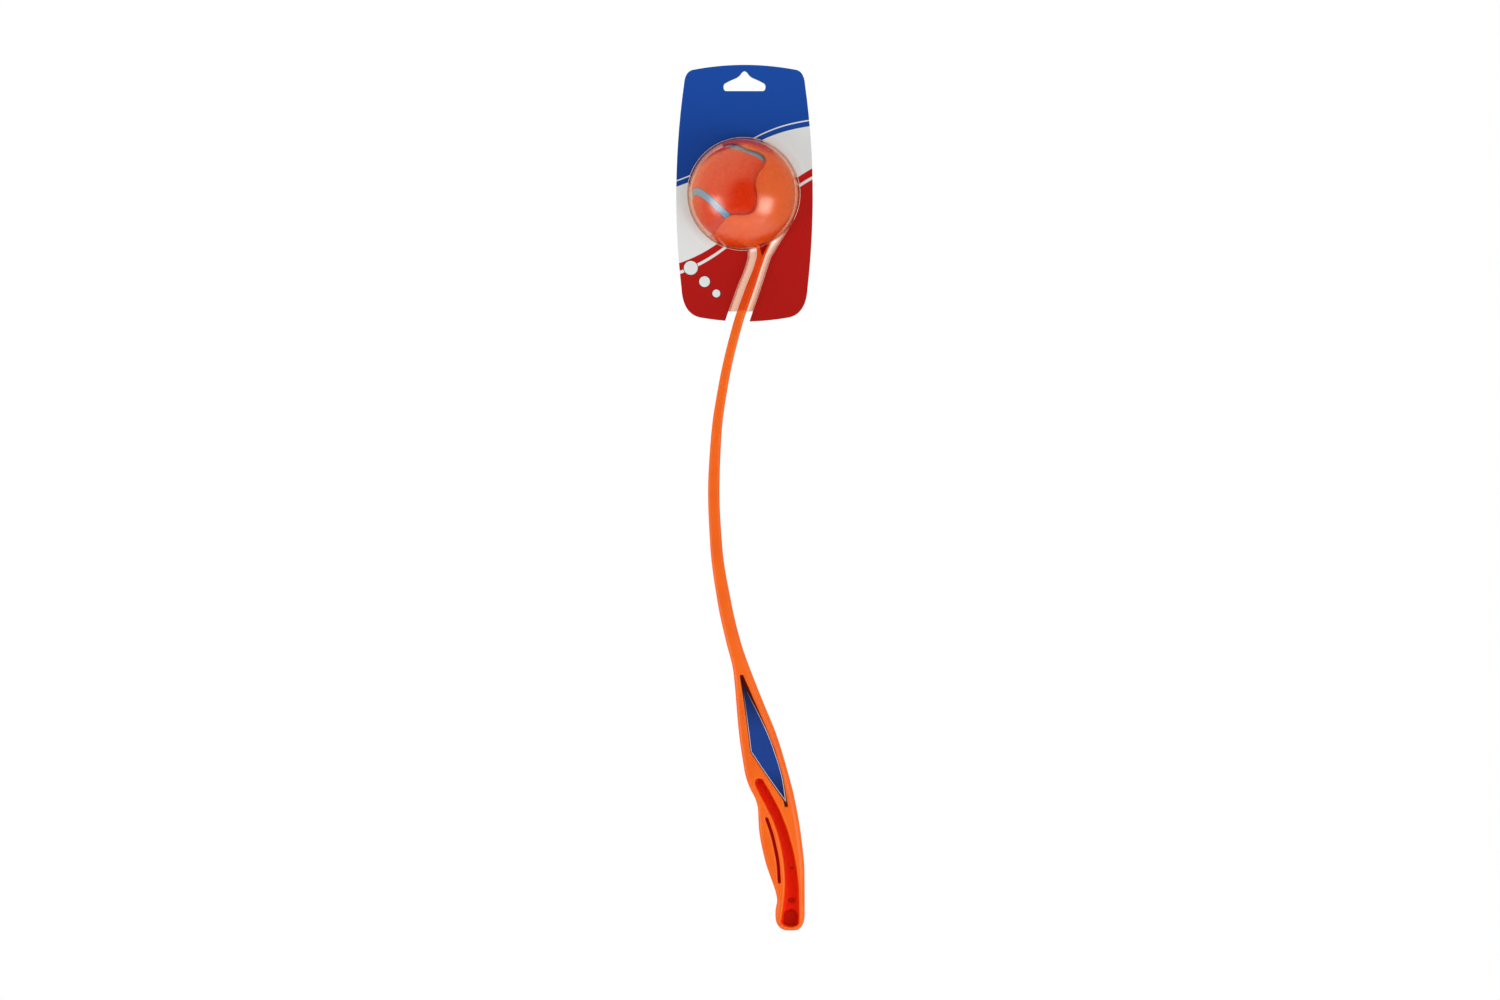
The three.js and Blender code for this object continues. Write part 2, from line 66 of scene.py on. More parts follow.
# Ball and cup
BALL_CENTRE = np.array([-2.3, 0.0, -93.5])
BALL_RADIUS = 38.1
FELT_THICKNESS = 2.2
FELT_EDGE = 0.9
NAP_DEPTH = 0.2
TUFTS_PER_MM = 0.9
TUFT_FALL = 0.8
TUFT_STEP = 2.0
TUFT_OCTAVES = 3
SEAM_WIDTH = 5.8
SEAM_GAP = 0.1
CUP_CLEARANCE = 0.5
CUP_WALL = 2.6
RIM_ROUNDING = 1.1
BORE_ROUNDING = 0.4

# Arm
ARM_LENGTH = 562.0
ARM_REACH = 73.8
STEM_DEPTH = 12.0
HANDLE_DEPTH = 22.0
BUTT_DEPTH = 15.0
BUTT_ROUNDING = 10.7
BUTT_MIDDLE = 0.517
BUTT_FLAT = 0.25
STEM_CORNER = 2.2
GRIP_CORNER = 3.0
BACK_CORNER = 5.0
STEM_END = 0.46
HANDLE_START = 0.63
ROOT_FILLET = 3.5
ROOT_WEB = 3.6
CHANNEL_WEB = 6.0
POCKET_WEB = 3.0
SLIT_WEB = 5.0
SLIT_WIDTH = 2.4
PANEL_SINK = 1.4
PIN_SINK = 0.3
GROOVE_END = 0.6

# Roundings of each recess: at its lip and at its floor
ROOT_ROUNDINGS = [1.0, 1.2]
PANEL_ROUNDINGS = [0.6, 0.5]
CHANNEL_ROUNDINGS = [2.0, 3.0]
POCKET_ROUNDINGS = [0.8, 0.8]
SLIT_ROUNDINGS = [0.8, 0.5]
PIN_ROUNDINGS = [0.2, 0.2]

# Painted shade of each recess: how far past its outline it reaches, the width over which it
# fades, and the depth at which it is full
CHANNEL_SHADE = [0.4, 1.2, 5.0]
POCKET_SHADE = [0.3, 0.8, 5.0]
ROOT_SHADE = [0.2, 0.6, 3.0]
SLIT_SHADE = [0.2, 0.5, 3.0]
PANEL_SHADE = [0.3, 0.8, PANEL_SINK]

# Blister
BLISTER_WALL = 0.5
SHEET = 0.38
FLANGE = 0.4
BUBBLE_CLEARANCE = 1.3
BUBBLE_SEAT = 0.35
NECK_SIDE_ROOM = 5.4
NECK_TOP_ROOM = 1.1
NECK_SHIFT = 0.9
NECK_ROUNDING = 6.0
NECK_FILLET = 1.2
NECK_BLEND = 3.0
NECK_OVERRUN = 12.0
NECK_ROWS = 40
FLANGE_FILLET = 0.6
FLANGE_BORDER = 5.4
BLISTER_INSET = 7.8
BLISTER_OVERRUN = 4.0

# Way from the ball's centre to the corner of the neck's hood, as [across, up]
HOOD = [0.885, -0.465]

# Boards
CARD_WIDTH = 104.12
CARD_HEIGHT = 195.9
CARD_THICKNESS = 0.5
CARD_TOP = 5.0
CARD_CLEARANCE = 0.35
PRESS_RAMP = 3.0
PRESS_MESH = 2.0
PRESS_EDGE_ROOM = 0.6
POINT_MERGE = 1e-5
KEYHOLE_STEPS = 180
SHARP_ANGLE = math.radians(30)
SLOT_WIDTH = 32.0
SLOT_HEIGHT = 15.0

# Label
LABEL_THICKNESS = 0.4
LABEL_BORDER = 0.5
LABEL_STEPS = 24

# Spacing of the points that the surfaces are made from, how they are eased onto the exact surface,
# and the most faces that the moulding keeps
FINE = 0.45
COARSE = 2.4
STEM_SPAN = [0.115, 0.6]
FELT_STEP = 0.56
SHEET_STEP = 0.7
FOOT_STEP = 0.25
FOOT_HEIGHT = 1.8
EDGE_STEP = 1.2
BUTT_STEPS = 20
FIELD_MARGIN = 2.4
EASING_ROUNDS = 4
EASING_REACH = 0.5
DIRECTION_BATCH = 40000
RIM_POINTS = 420
SEAM_POINTS = 720
MOULDING_FACES = 190000

# Arm outline as [down, across] shares of its length and reach from the ball's centre
GRIP_EDGE = [
    [0.046, 0.06], [0.06, 0.1], [0.0734, 0.156], [0.082, 0.16], [0.0924, 0.144], [0.13, 0.036],
    [0.177, -0.088], [0.253, -0.2275], [0.329, -0.315], [0.405, -0.346], [0.481, -0.322],
    [0.557, -0.244], [0.606, -0.163], [0.644, -0.09], [0.6576, -0.0765], [0.731, -0.027],
    [0.77, 0.015], [0.788, 0.039], [0.804, 0.0786], [0.8234, 0.15], [0.834, 0.1686],
    [0.861, 0.18], [0.905, 0.244], [0.929, 0.305], [0.948, 0.354], [0.9606, 0.369],
    [0.975, 0.352], [1, 0.35],
]
BACK_EDGE = [
    [0.046, 0.384], [0.057, 0.342], [0.0625, 0.321], [0.0747, 0.274], [0.0924, 0.224],
    [0.13, 0.131], [0.177, 0.01], [0.253, -0.129], [0.329, -0.208], [0.405, -0.2275],
    [0.481, -0.1975], [0.557, -0.103], [0.611, -0.003], [0.644, 0.085], [0.6875, 0.215],
    [0.736, 0.365], [0.7745, 0.456], [0.823, 0.552], [0.872, 0.617], [0.921, 0.6515],
    [0.965, 0.6536], [1, 0.65],
]

# Side view of the cup's rim, upper lip to lower lip, and of the root's pocket, as [across, up]
# shares of the ball's radius from its centre. The cup's wall is cut square along lines from there.
RIM = [
    [-0.37, 0.929], [-0.349, 0.928], [-0.249, 0.957], [-0.129, 0.968], [-0.032, 0.92],
    [0.101, 0.843], [0.347, 0.76], [0.459, 0.637], [0.434, 0.484], [0.32, 0.326], [0.272, 0.139],
    [0.301, -0.099], [0.286, -0.297], [0.178, -0.425], [0, -0.449], [-0.208, -0.459],
    [-0.395, -0.622], [-0.542, -0.803], [-0.602, -0.799],
]
ROOT_POCKET = [[0.33, -0.98], [0.59, -0.92], [0.415, -1.245]]

# Panel recess with its rounded upper end, and the middle lines of channel, end pocket and slit, as
# [down, across] shares, with half widths as shares of the reach
PANEL = [
    [0.6545, 0.025], [0.7195, 0.241], [0.7568, 0.3526], [0.791, 0.4292], [0.832, 0.484],
    [0.832, 0.445], [0.8234, 0.431], [0.7912, 0.2637], [0.7575, 0.09], [0.7265, 0.061],
    [0.6889, 0.0217], [0.6545, -0.02], [0.6535, -0.0185], [0.6527, -0.011], [0.6524, 0.001],
    [0.6527, 0.013], [0.6535, 0.0225],
]
CHANNEL = [
    [0.7995, 0.1855, 0.0465], [0.8155, 0.25, 0.0525], [0.8315, 0.316, 0.0525],
    [0.848, 0.3745, 0.0515], [0.872, 0.4385, 0.0535], [0.905, 0.495, 0.06],
    [0.9375, 0.519, 0.0695], [0.97, 0.513, 0.084], [0.9875, 0.502, 0.095],
]
END_POCKET = [[0.981, 0.512, 0.073], [0.9885, 0.507, 0.077]]
SLIT = [[0.8478, 0.2606], [0.8723, 0.3216], [0.905, 0.3744], [0.9335, 0.391]]

# The label's three edges, each a smooth curve
LABEL_RIGHT = [
    [0.6617, 0.0062], [0.721, 0.2335], [0.758, 0.345], [0.7915, 0.4205], [0.8255, 0.461],
]
LABEL_LOWER = [[0.8255, 0.461], [0.7912, 0.274], [0.757, 0.0985]]
LABEL_UPPER = [[0.757, 0.0985], [0.7265, 0.0695], [0.6896, 0.032], [0.6617, 0.0062]]

# Marks of the pins that push the moulding out of its mould: [down, across] shares and size in mm
PIN_MARKS = [[[0.9149, 0.522], [1.3, 1.3]], [[0.9592, 0.52], [3.0, 2.3]]]

# Card outline and hanging slot, right half from top to bottom: a control point and the end of its
# curve, as [across, down] shares of half the width and the height
CARD_CURVES = [
    [[0.38, 0], [0.76, 0.0195]], [[0.872, 0.027], [0.887, 0.075]], [[1.094, 0.47], [0.925, 0.87]],
    [[0.905, 0.968], [0.66, 0.984]], [[0.33, 1], [0, 1]],
]
SLOT_CURVES = [
    [[0.08, 0], [0.16, 0.12]], [[0.24, 0.27], [0.42, 0.36]], [[0.7, 0.48], [0.9, 0.6]],
    [[1, 0.66], [1, 0.78]], [[1, 1], [0.86, 1]], [[0.4, 1], [0, 1]],
]

# Right half of the seam's section: [share of its half width, depth below the ball's surface]
SEAM_PROFILE = [[0, 0.5], [0.4, 0.47], [0.75, 0.4], [0.94, 0.38], [1, 0.6]]

# Seam of the ball: shares of the radius in its curve, and the way that the ball lies
SEAM_MAIN = 0.795
SEAM_BEND = 0.205
SEAM_AXIS = np.array([-0.687, -0.409, 0.601])
SEAM_LOBE = np.array([0.432, -0.894, -0.114])

cup_inner = BALL_RADIUS + CUP_CLEARANCE
cup_outer = cup_inner + CUP_WALL
bubble_radius = cup_outer + BUBBLE_CLEARANCE + BLISTER_WALL
bubble_x = BALL_CENTRE[0] - (BUBBLE_CLEARANCE - BUBBLE_SEAT) / (RIM[-1][0] / math.hypot(*RIM[-1]))
bubble_centre = [bubble_x, BALL_CENTRE[2]]
card_bottom = CARD_TOP - CARD_HEIGHT
blister_end = card_bottom + BLISTER_INSET


def curve_through(rows):
    """Smooth curve through [place, value] rows that never overshoots them."""
    place, value = np.array(rows, float).T
    rise = np.diff(value) / np.diff(place)
    slope = np.concatenate([rise[:1], rise, rise[-1:]])
    before, after = slope[:-1], slope[1:]
    same = before * after > 0
    slope = np.where(same, 2 * before * after / np.where(same, before + after, 1), 0)
    slope[0], slope[-1] = rise[0], rise[-1]

    def curve(at):
        at = np.asarray(at, float)
        i = np.clip(np.searchsorted(place, at, side="right") - 1, 0, len(place) - 2)
        span = place[i + 1] - place[i]
        t = (at - place[i]) / span
        s = 1 - t
        return (value[i] * s * s * (1 + 2 * t) + value[i + 1] * t * t * (3 - 2 * t)
                + span * s * t * (slope[i] * s - slope[i + 1] * t))

    return curve


grip_edge = curve_through(GRIP_EDGE)
back_edge = curve_through(BACK_EDGE)


def arm_point(down, across):
    """Place on the arm's side view."""
    down, across = np.broadcast_arrays(np.asarray(down, float), np.asarray(across, float))
    return np.stack([BALL_CENTRE[0] + across * ARM_REACH, BALL_CENTRE[2] - down * ARM_LENGTH], -1)


def smooth_least(a, b, rounding):
    """Union of two signed distances with a fillet."""
    near = np.maximum(rounding - np.abs(a - b), 0) / rounding
    return np.minimum(a, b) - near * near * rounding / 4


def smooth_most(a, b, rounding):
    """Intersection of two signed distances with a rounded edge."""
    return -smooth_least(-a, -b, rounding)


def rounded(plan, depth, corner):
    """Solid inside both distances, with an edge of that radius."""
    a, b = plan + corner, depth + corner
    return np.hypot(np.maximum(a, 0), np.maximum(b, 0)) + np.minimum(np.maximum(a, b), 0) - corner


def outline_distance(outline, points):
    """Signed distance, negative inside, from each [x, z] place to a closed outline."""
    best = np.full(points.shape[:-1], 1e9)
    inside = np.zeros(points.shape[:-1], bool)
    for a, b in zip(outline, np.roll(outline, -1, axis=0)):
        side = b - a
        length = side @ side
        if length == 0:
            continue
        from_a = points - a
        t = np.clip(from_a @ side / length, 0, 1)
        off = from_a - t[..., None] * side
        np.minimum(best, (off * off).sum(-1), out=best)
        if a[1] != b[1]:
            crosses = (a[1] > points[..., 1]) != (b[1] > points[..., 1])
            crossing = a[0] + (points[..., 1] - a[1]) * side[0] / side[1]
            inside ^= crosses & (points[..., 0] < crossing)
    return np.where(inside, -1, 1) * np.sqrt(best)


def side_grid(x, z):
    return np.stack(np.meshgrid(x, z, indexing="ij"), -1)


def spline(points, count, closed=False):
    """Places along a smooth curve through points."""
    points = np.asarray(points, float)
    n = len(points)
    if closed:
        padded = np.concatenate([points[-1:], points, points[:2]])
        spans = n
    else:
        first = 2 * points[:1] - points[1:2]
        last = 2 * points[-1:] - points[-2:-1]
        padded = np.concatenate([first, points, last])
        spans = n - 1
    at = np.linspace(0, spans, count, endpoint=not closed)
    i = np.clip(at.astype(int), 0, spans - 1)
    t = (at - i)[:, None]
    p0, p1, p2, p3 = padded[i], padded[i + 1], padded[i + 2], padded[i + 3]
    return 0.5 * (2 * p1 + (p2 - p0) * t + (2 * p0 - 5 * p1 + 4 * p2 - p3) * t * t
                  + (3 * p1 - p0 - 3 * p2 + p3) * t * t * t)


def groove_outline(rows, end_share, steps=60, cap_steps=14):
    """Outline of a groove along [down, across, half width in mm] rows, with rounded ends."""
    rows = np.array(rows, float)
    line = spline(arm_point(rows[:, 0], rows[:, 1]), steps)
    widths = np.stack([np.linspace(0, 1, len(rows)), rows[:, 2]], -1)
    half = curve_through(widths)(np.linspace(0, 1, steps))
    forward = np.gradient(line, axis=0)
    forward /= np.linalg.norm(forward, axis=1, keepdims=True)
    sideways = np.stack([-forward[:, 1], forward[:, 0]], -1) * half[:, None]
    turn = np.linspace(0, math.pi, cap_steps)[1:-1, None]
    reach = forward[-1] * half[-1] * end_share
    end = line[-1] + sideways[-1] * np.cos(turn) + reach * np.sin(turn)
    start = line[0] - sideways[0] * np.cos(turn) - forward[0] * half[0] * np.sin(turn)
    return np.concatenate([line + sideways, end, (line - sideways)[::-1], start])


channel_outline = groove_outline(np.array(CHANNEL) * [1, 1, ARM_REACH], GROOVE_END)
pocket_outline = groove_outline(np.array(END_POCKET) * [1, 1, ARM_REACH], GROOVE_END)
slit_outline = groove_outline([[*row, SLIT_WIDTH / 2] for row in SLIT], 1)
root_outline = BALL_CENTRE[[0, 2]] + np.array(ROOT_POCKET) * BALL_RADIUS
panel_outline = arm_point(*np.array(PANEL).T)


def ellipse(centre, size, steps=40):
    turn = np.linspace(0, 2 * math.pi, steps, endpoint=False)
    return centre + np.stack([size[0] * np.cos(turn), size[1] * np.sin(turn)], -1)


pin_outlines = [ellipse(arm_point(*place), size) for place, size in PIN_MARKS]


def arm_outline():
    """Side view of the arm, root to butt and back."""
    butt_start = 1 - BUTT_ROUNDING / ARM_LENGTH
    share = np.arange(GRIP_EDGE[0][0], butt_start, EDGE_STEP / ARM_LENGTH)
    angle = np.linspace(0, math.pi / 2, BUTT_STEPS)
    end = butt_start + (1 - butt_start) * np.sin(angle)
    squeeze = BUTT_FLAT + (1 - BUTT_FLAT) * np.cos(angle)
    share = np.concatenate([share, end])
    squeeze = np.concatenate([np.ones(len(share) - len(end)), squeeze])
    left = BUTT_MIDDLE + (grip_edge(share) - BUTT_MIDDLE) * squeeze
    right = BUTT_MIDDLE + (back_edge(share) - BUTT_MIDDLE) * squeeze
    return np.concatenate([arm_point(share, left), arm_point(share, right)[::-1]])


def half_depth(share):
    """Half of the arm's depth at shares of its length."""
    along = curve_through([
        [0, STEM_DEPTH], [STEM_END, STEM_DEPTH], [HANDLE_START, HANDLE_DEPTH], [1, HANDLE_DEPTH],
    ])
    past = np.clip((share - 1) * ARM_LENGTH / BUTT_ROUNDING + 1, 0, 1)
    squeeze = np.where(past > 0, BUTT_FLAT + (1 - BUTT_FLAT) * np.sqrt(1 - past * past), 1)
    return (BUTT_DEPTH + (along(np.clip(share, 0, 1)) - BUTT_DEPTH) * squeeze) / 2


def curve_distance(direction, curve):
    """Angle from each unit direction to a closed curve on the unit ball, positive to its left."""
    after = np.roll(curve, -1, axis=0)
    result = np.empty(len(direction))
    for start in range(0, len(direction), DIRECTION_BATCH):
        d = direction[start:start + DIRECTION_BATCH]
        near = (d.astype(np.float32) @ curve.T.astype(np.float32)).argmax(1)
        best = np.full(len(d), 9.0)
        sign = np.ones(len(d))
        for shift in (-1, 0):
            i = (near + shift) % len(curve)
            side = after[i] - curve[i]
            t = np.clip(((d - curve[i]) * side).sum(1) / (side * side).sum(1), 0, 1)
            off = np.linalg.norm(d - curve[i] - t[:, None] * side, axis=1)
            left = (np.cross(curve[i], after[i]) * d).sum(1)
            closer = off < best
            sign = np.where(closer, np.sign(left), sign)
            best = np.minimum(best, off)
        result[start:start + DIRECTION_BATCH] = 2 * np.arcsin(np.minimum(best / 2, 1)) * sign
    return result


def cup_rim():
    """The rim of the cup as unit directions from the ball's centre."""
    front = np.array([[x, -math.sqrt(max(0, 1 - x * x - z * z)), z] for x, z in RIM])
    front[[0, -1], 1] = 0
    rear = front[1:-1][::-1] * [1, -1, 1]
    rim = spline(np.concatenate([front, rear]), RIM_POINTS, closed=True)
    return rim / np.linalg.norm(rim, axis=1, keepdims=True)


def ball_seam(steps):
    """The seam of the ball as unit directions from its centre."""
    turn = np.linspace(0, 2 * math.pi, steps, endpoint=False)[:, None]
    axis = SEAM_AXIS / np.linalg.norm(SEAM_AXIS)
    cross = np.cross(SEAM_LOBE, axis)
    cross /= np.linalg.norm(cross)
    lobe = np.cross(axis, cross)
    first = SEAM_MAIN * np.cos(turn) + SEAM_BEND * np.cos(3 * turn)
    second = SEAM_MAIN * np.sin(turn) - SEAM_BEND * np.sin(3 * turn)
    seam = 2 * math.sqrt(SEAM_MAIN * SEAM_BEND) * np.sin(2 * turn) * axis
    seam = seam + (first - second) / math.sqrt(2) * lobe + (first + second) / math.sqrt(2) * cross
    return seam / np.linalg.norm(seam, axis=1, keepdims=True)


def surface(field, x, y, z):
    """Places and faces where a field on a grid passes zero, eased onto the exact surface."""
    grid = openvdb.FloatGrid(FIELD_MARGIN)
    grid.copyFromArray(np.clip(field, -FIELD_MARGIN, FIELD_MARGIN).astype(np.float32))
    points, quads = grid.convertToQuads(isovalue=0.0)
    p = points.astype(float)
    last = np.array(field.shape) - 2
    corners = [np.array([i, j, k]) for i in (0, 1) for j in (0, 1) for k in (0, 1)]
    for _ in range(EASING_ROUNDS):
        low = np.clip(np.floor(p).astype(int), 0, last)
        t = p - low
        value = np.zeros(len(p))
        slope = np.zeros((len(p), 3))
        for corner in corners:
            weight = np.where(corner, t, 1 - t)
            at_corner = field[tuple((low + corner).T)]
            value += at_corner * weight.prod(1)
            for axis in range(3):
                across = weight[:, (axis + 1) % 3] * weight[:, (axis + 2) % 3]
                slope[:, axis] += at_corner * (2 * corner[axis] - 1) * across
        step = value[:, None] * slope / np.maximum((slope * slope).sum(1), 1e-6)[:, None]
        p -= np.clip(step, -EASING_REACH, EASING_REACH)
    places = [
        np.interp(p[:, axis], np.arange(len(line)), line) for axis, line in enumerate((x, y, z))
    ]
    return np.stack(places, -1), quads


def new_piece(name, data):
    piece = bpy.data.objects.new(name, data)
    bpy.context.scene.collection.objects.link(piece)
    return piece


def make_mesh(name, places, faces):
    """Smooth piece from places in millimetres."""
    mesh = bpy.data.meshes.new(name)
    places = np.asarray(places, np.float32) * np.float32(METRES)
    faces = np.asarray(faces, np.int32)
    mesh.vertices.add(len(places))
    mesh.vertices.foreach_set("co", places.ravel())
    mesh.loops.add(faces.size)
    mesh.loops.foreach_set("vertex_index", faces.ravel())
    mesh.polygons.add(len(faces))
    starts = np.arange(0, faces.size, faces.shape[1], dtype=np.int32)
    mesh.polygons.foreach_set("loop_start", starts)
    mesh.update(calc_edges=True)
    mesh.validate()
    mesh.shade_smooth()
    return new_piece(name, mesh)


def baked(piece):
    """The piece with its modifiers turned into plain mesh."""
    bpy.context.view_layer.update()
    graph = bpy.context.evaluated_depsgraph_get()
    mesh = bpy.data.meshes.new_from_object(piece.evaluated_get(graph))
    old = piece.data
    piece.modifiers.clear()
    piece.data = mesh
    bpy.data.meshes.remove(old)
    mesh.name = piece.name
    return piece


def places_of(piece):
    """The piece's points in millimetres."""
    places = np.empty(3 * len(piece.data.vertices), np.float32)
    piece.data.vertices.foreach_get("co", places)
    return places.reshape(-1, 3) / METRES


def keep_values(piece, name, values):
    """Stores a number at each point of a piece for its material."""
    layer = piece.data.attributes.new(name, "FLOAT", "POINT")
    layer.data.foreach_set("value", np.asarray(values, np.float32))


def arm_field(x, y, z):
    """Signed distance to root, stem and handle, with their recesses, on the front half."""
    side = side_grid(x, z)
    depth = y[None, :, None]
    share = (BALL_CENTRE[2] - z) / ARM_LENGTH
    handle = np.clip((share - STEM_END) / (HANDLE_START - STEM_END), 0, 1)
    handle = handle * handle * (3 - 2 * handle)
    along = np.clip(share, GRIP_EDGE[0][0], 1)
    left = arm_point(share, grip_edge(along))[:, 0]
    right = arm_point(share, back_edge(along))[:, 0]
    across = np.clip((x[:, None] - left) / (right - left), 0, 1)
    handle_corner = GRIP_CORNER + (BACK_CORNER - GRIP_CORNER) * across
    corner = STEM_CORNER + (handle_corner - STEM_CORNER) * handle
    plan = outline_distance(arm_outline(), side)
    arm = rounded(plan[:, None, :], depth - half_depth(share), corner[:, None, :])

    pin_web = CHANNEL_WEB - 2 * PIN_SINK
    recesses = [
        (root_outline, ROOT_WEB, ROOT_ROUNDINGS),
        (panel_outline, HANDLE_DEPTH - 2 * PANEL_SINK, PANEL_ROUNDINGS),
        (channel_outline, CHANNEL_WEB, CHANNEL_ROUNDINGS),
        (pocket_outline, POCKET_WEB, POCKET_ROUNDINGS),
        (slit_outline, SLIT_WEB, SLIT_ROUNDINGS),
        *((outline, pin_web, PIN_ROUNDINGS) for outline in pin_outlines),
    ]
    for outline, web, (lip_rounding, floor_rounding) in recesses:
        cut = outline_distance(outline, side)[:, None, :]
        hollow = smooth_most(cut, web / 2 - depth, floor_rounding)
        arm = smooth_most(arm, -hollow, lip_rounding)
    return arm


def throwing_arm():
    """The one-piece moulding: cup, root, stem and handle, with every edge rounded."""
    far = 2 * FIELD_MARGIN
    cup_middle = (cup_inner + cup_outer) / 2
    cup_low = BALL_CENTRE[2] - cup_outer - far
    bottom = BALL_CENTRE[2] - ARM_LENGTH - FIELD_MARGIN
    stem_top, stem_bottom = arm_point(STEM_SPAN, 0)[:, 1]
    z = np.concatenate([
        np.arange(bottom, stem_bottom, FINE), np.arange(stem_bottom, stem_top, COARSE),
        np.arange(stem_top, BALL_CENTRE[2] + cup_outer + FIELD_MARGIN, FINE),
    ])
    handle_right = arm_point(0, max(row[1] for row in BACK_EDGE))[0]
    x = np.arange(BALL_CENTRE[0] - cup_outer - FIELD_MARGIN, handle_right + FIELD_MARGIN, FINE)
    y = np.arange(FINE / 2, cup_outer + FIELD_MARGIN, FINE)
    thin = np.searchsorted(y, HANDLE_DEPTH / 2 + FIELD_MARGIN)
    high = np.searchsorted(z, cup_low)
    half = np.full((len(x), len(y), len(z)), far, np.float32)
    half[:, :thin] = np.minimum(arm_field(x, y[:thin], z), far)

    gx, gy, gz = np.meshgrid(x - BALL_CENTRE[0], y, z[high:] - BALL_CENTRE[2], indexing="ij")
    radius = np.sqrt(gx * gx + gy * gy + gz * gz)
    wall = np.abs(radius - cup_middle) - CUP_WALL / 2
    near = wall < far
    direction = np.stack([gx[near], -gy[near], gz[near]], -1) / radius[near][:, None]
    rim = np.full(radius.shape, far)
    rim[near] = -curve_distance(direction, cup_rim()) * cup_middle
    head = smooth_least(half[..., high:], rounded(rim, wall, RIM_ROUNDING), ROOT_FILLET)
    half[..., high:] = smooth_most(head, cup_inner - radius, BORE_ROUNDING)

    field = np.concatenate([half[:, ::-1], half], 1)
    places, quads = surface(field, x, np.concatenate([-y[::-1], y]), z)
    piece = make_mesh("moulded_arm", places, quads)
    triangles = 2 * len(quads)
    if triangles > MOULDING_FACES:
        fewer = piece.modifiers.new("fewer", "DECIMATE")
        fewer.ratio = MOULDING_FACES / triangles
        fewer.use_collapse_triangulate = True
        baked(piece)

    places = places_of(piece)
    depth = half_depth((BALL_CENTRE[2] - places[:, 2]) / ARM_LENGTH) - np.abs(places[:, 1])
    # Amounts of painted shade that the material lays into each recess
    shades = [
        ("channel_painted_shade", [channel_outline], CHANNEL_SHADE),
        ("deep_painted_shade", [pocket_outline, *pin_outlines], POCKET_SHADE),
        ("root", [root_outline], ROOT_SHADE),
        ("slit", [slit_outline], SLIT_SHADE),
        ("tips", [panel_outline], PANEL_SHADE),
    ]
    for name, outlines, (reach, fade, full_depth) in shades:
        levels = np.concatenate(outlines)[:, 1]
        middle = (levels.min() + levels.max()) / 2
        near = np.abs(places[:, 2] - middle) < np.ptp(levels) / 2 + FIELD_MARGIN
        side = places[near][:, [0, 2]]
        inward = np.min([outline_distance(outline, side) for outline in outlines], axis=0)
        values = np.zeros(len(places))
        values[near] = np.clip((reach - inward) / fade, 0, 1)
        if name == "tips":
            # Only the front panel holds a label, past whose tips the recess gets painted shade
            values[places[:, 1] > 0] = 0
        keep_values(piece, name, values * np.clip(depth / full_depth, 0, 1))
    return piece


def felt_panels():
    """The two dog-bone panels of felt, with edges that roll down to the seam and a matted face."""
    reach = BALL_RADIUS + FIELD_MARGIN
    line = np.arange(-reach, reach + FELT_STEP, FELT_STEP)
    gx, gy, gz = np.meshgrid(line, line, line, indexing="ij")
    radius = np.sqrt(gx * gx + gy * gy + gz * gz)
    wall = np.abs(radius - BALL_RADIUS + FELT_THICKNESS / 2) - FELT_THICKNESS / 2
    near = wall < FIELD_MARGIN
    direction = np.stack([gx[near], gy[near], gz[near]], -1) / radius[near][:, None]
    seam = np.zeros(radius.shape)
    seam[near] = curve_distance(direction, ball_seam(SEAM_POINTS)) * BALL_RADIUS
    panels = []
    for name, hand in (("felt_cover_a", 1), ("felt_cover_b", -1)):
        plan = np.where(near, SEAM_WIDTH / 2 + SEAM_GAP - hand * seam, FIELD_MARGIN)
        places, quads = surface(rounded(plan, wall, FELT_EDGE), line, line, line)
        length = np.linalg.norm(places, axis=1)
        tuft = np.array([
            noise.fractal(Vector(place) * TUFTS_PER_MM, TUFT_FALL, TUFT_STEP, TUFT_OCTAVES)
            for place in places
        ])
        outside = length > BALL_RADIUS - FELT_THICKNESS / 2
        lift = (np.clip(tuft, -1, 1) - 1) * NAP_DEPTH * outside
        panel = make_mesh(name, places * (1 + lift / length)[:, None] + BALL_CENTRE, quads)
        keep_values(panel, "outside", length > BALL_RADIUS - FELT_EDGE)
        panels.append(panel)
    return panels


def seam_strip(steps=420):
    """The pale rubber that fills the seam, slightly hollow across its width."""
    seam = ball_seam(steps)
    along = np.roll(seam, -1, axis=0) - np.roll(seam, 1, axis=0)
    side = np.cross(seam, along)
    side /= np.linalg.norm(side, axis=1, keepdims=True)
    half = SEAM_WIDTH / 2 / BALL_RADIUS
    right = [*SEAM_PROFILE, (1, FELT_THICKNESS)]
    profile = [(-place, sink) for place, sink in right[:0:-1]] + right + [(0, FELT_THICKNESS)]
    rings = [
        (BALL_RADIUS - sink) * (seam * math.cos(place * half) + side * math.sin(place * half))
        for place, sink in profile
    ]
    count = len(profile)
    step, edge = np.meshgrid(np.arange(steps), np.arange(count), indexing="ij")
    here, there = step * count, (step + 1) % steps * count
    after = (edge + 1) % count
    faces = np.stack([here + edge, here + after, there + after, there + edge], -1).reshape(-1, 4)
    places = np.stack(rings, 1).reshape(-1, 3) + BALL_CENTRE
    return facing_out(make_mesh("seam_rubber_strip", places, faces))


def facing_out(piece):
    """Turns a closed piece's faces outwards."""
    bm = bmesh.new()
    bm.from_mesh(piece.data)
    bmesh.ops.recalc_face_normals(bm, faces=bm.faces)
    bm.to_mesh(piece.data)
    bm.free()
    return piece


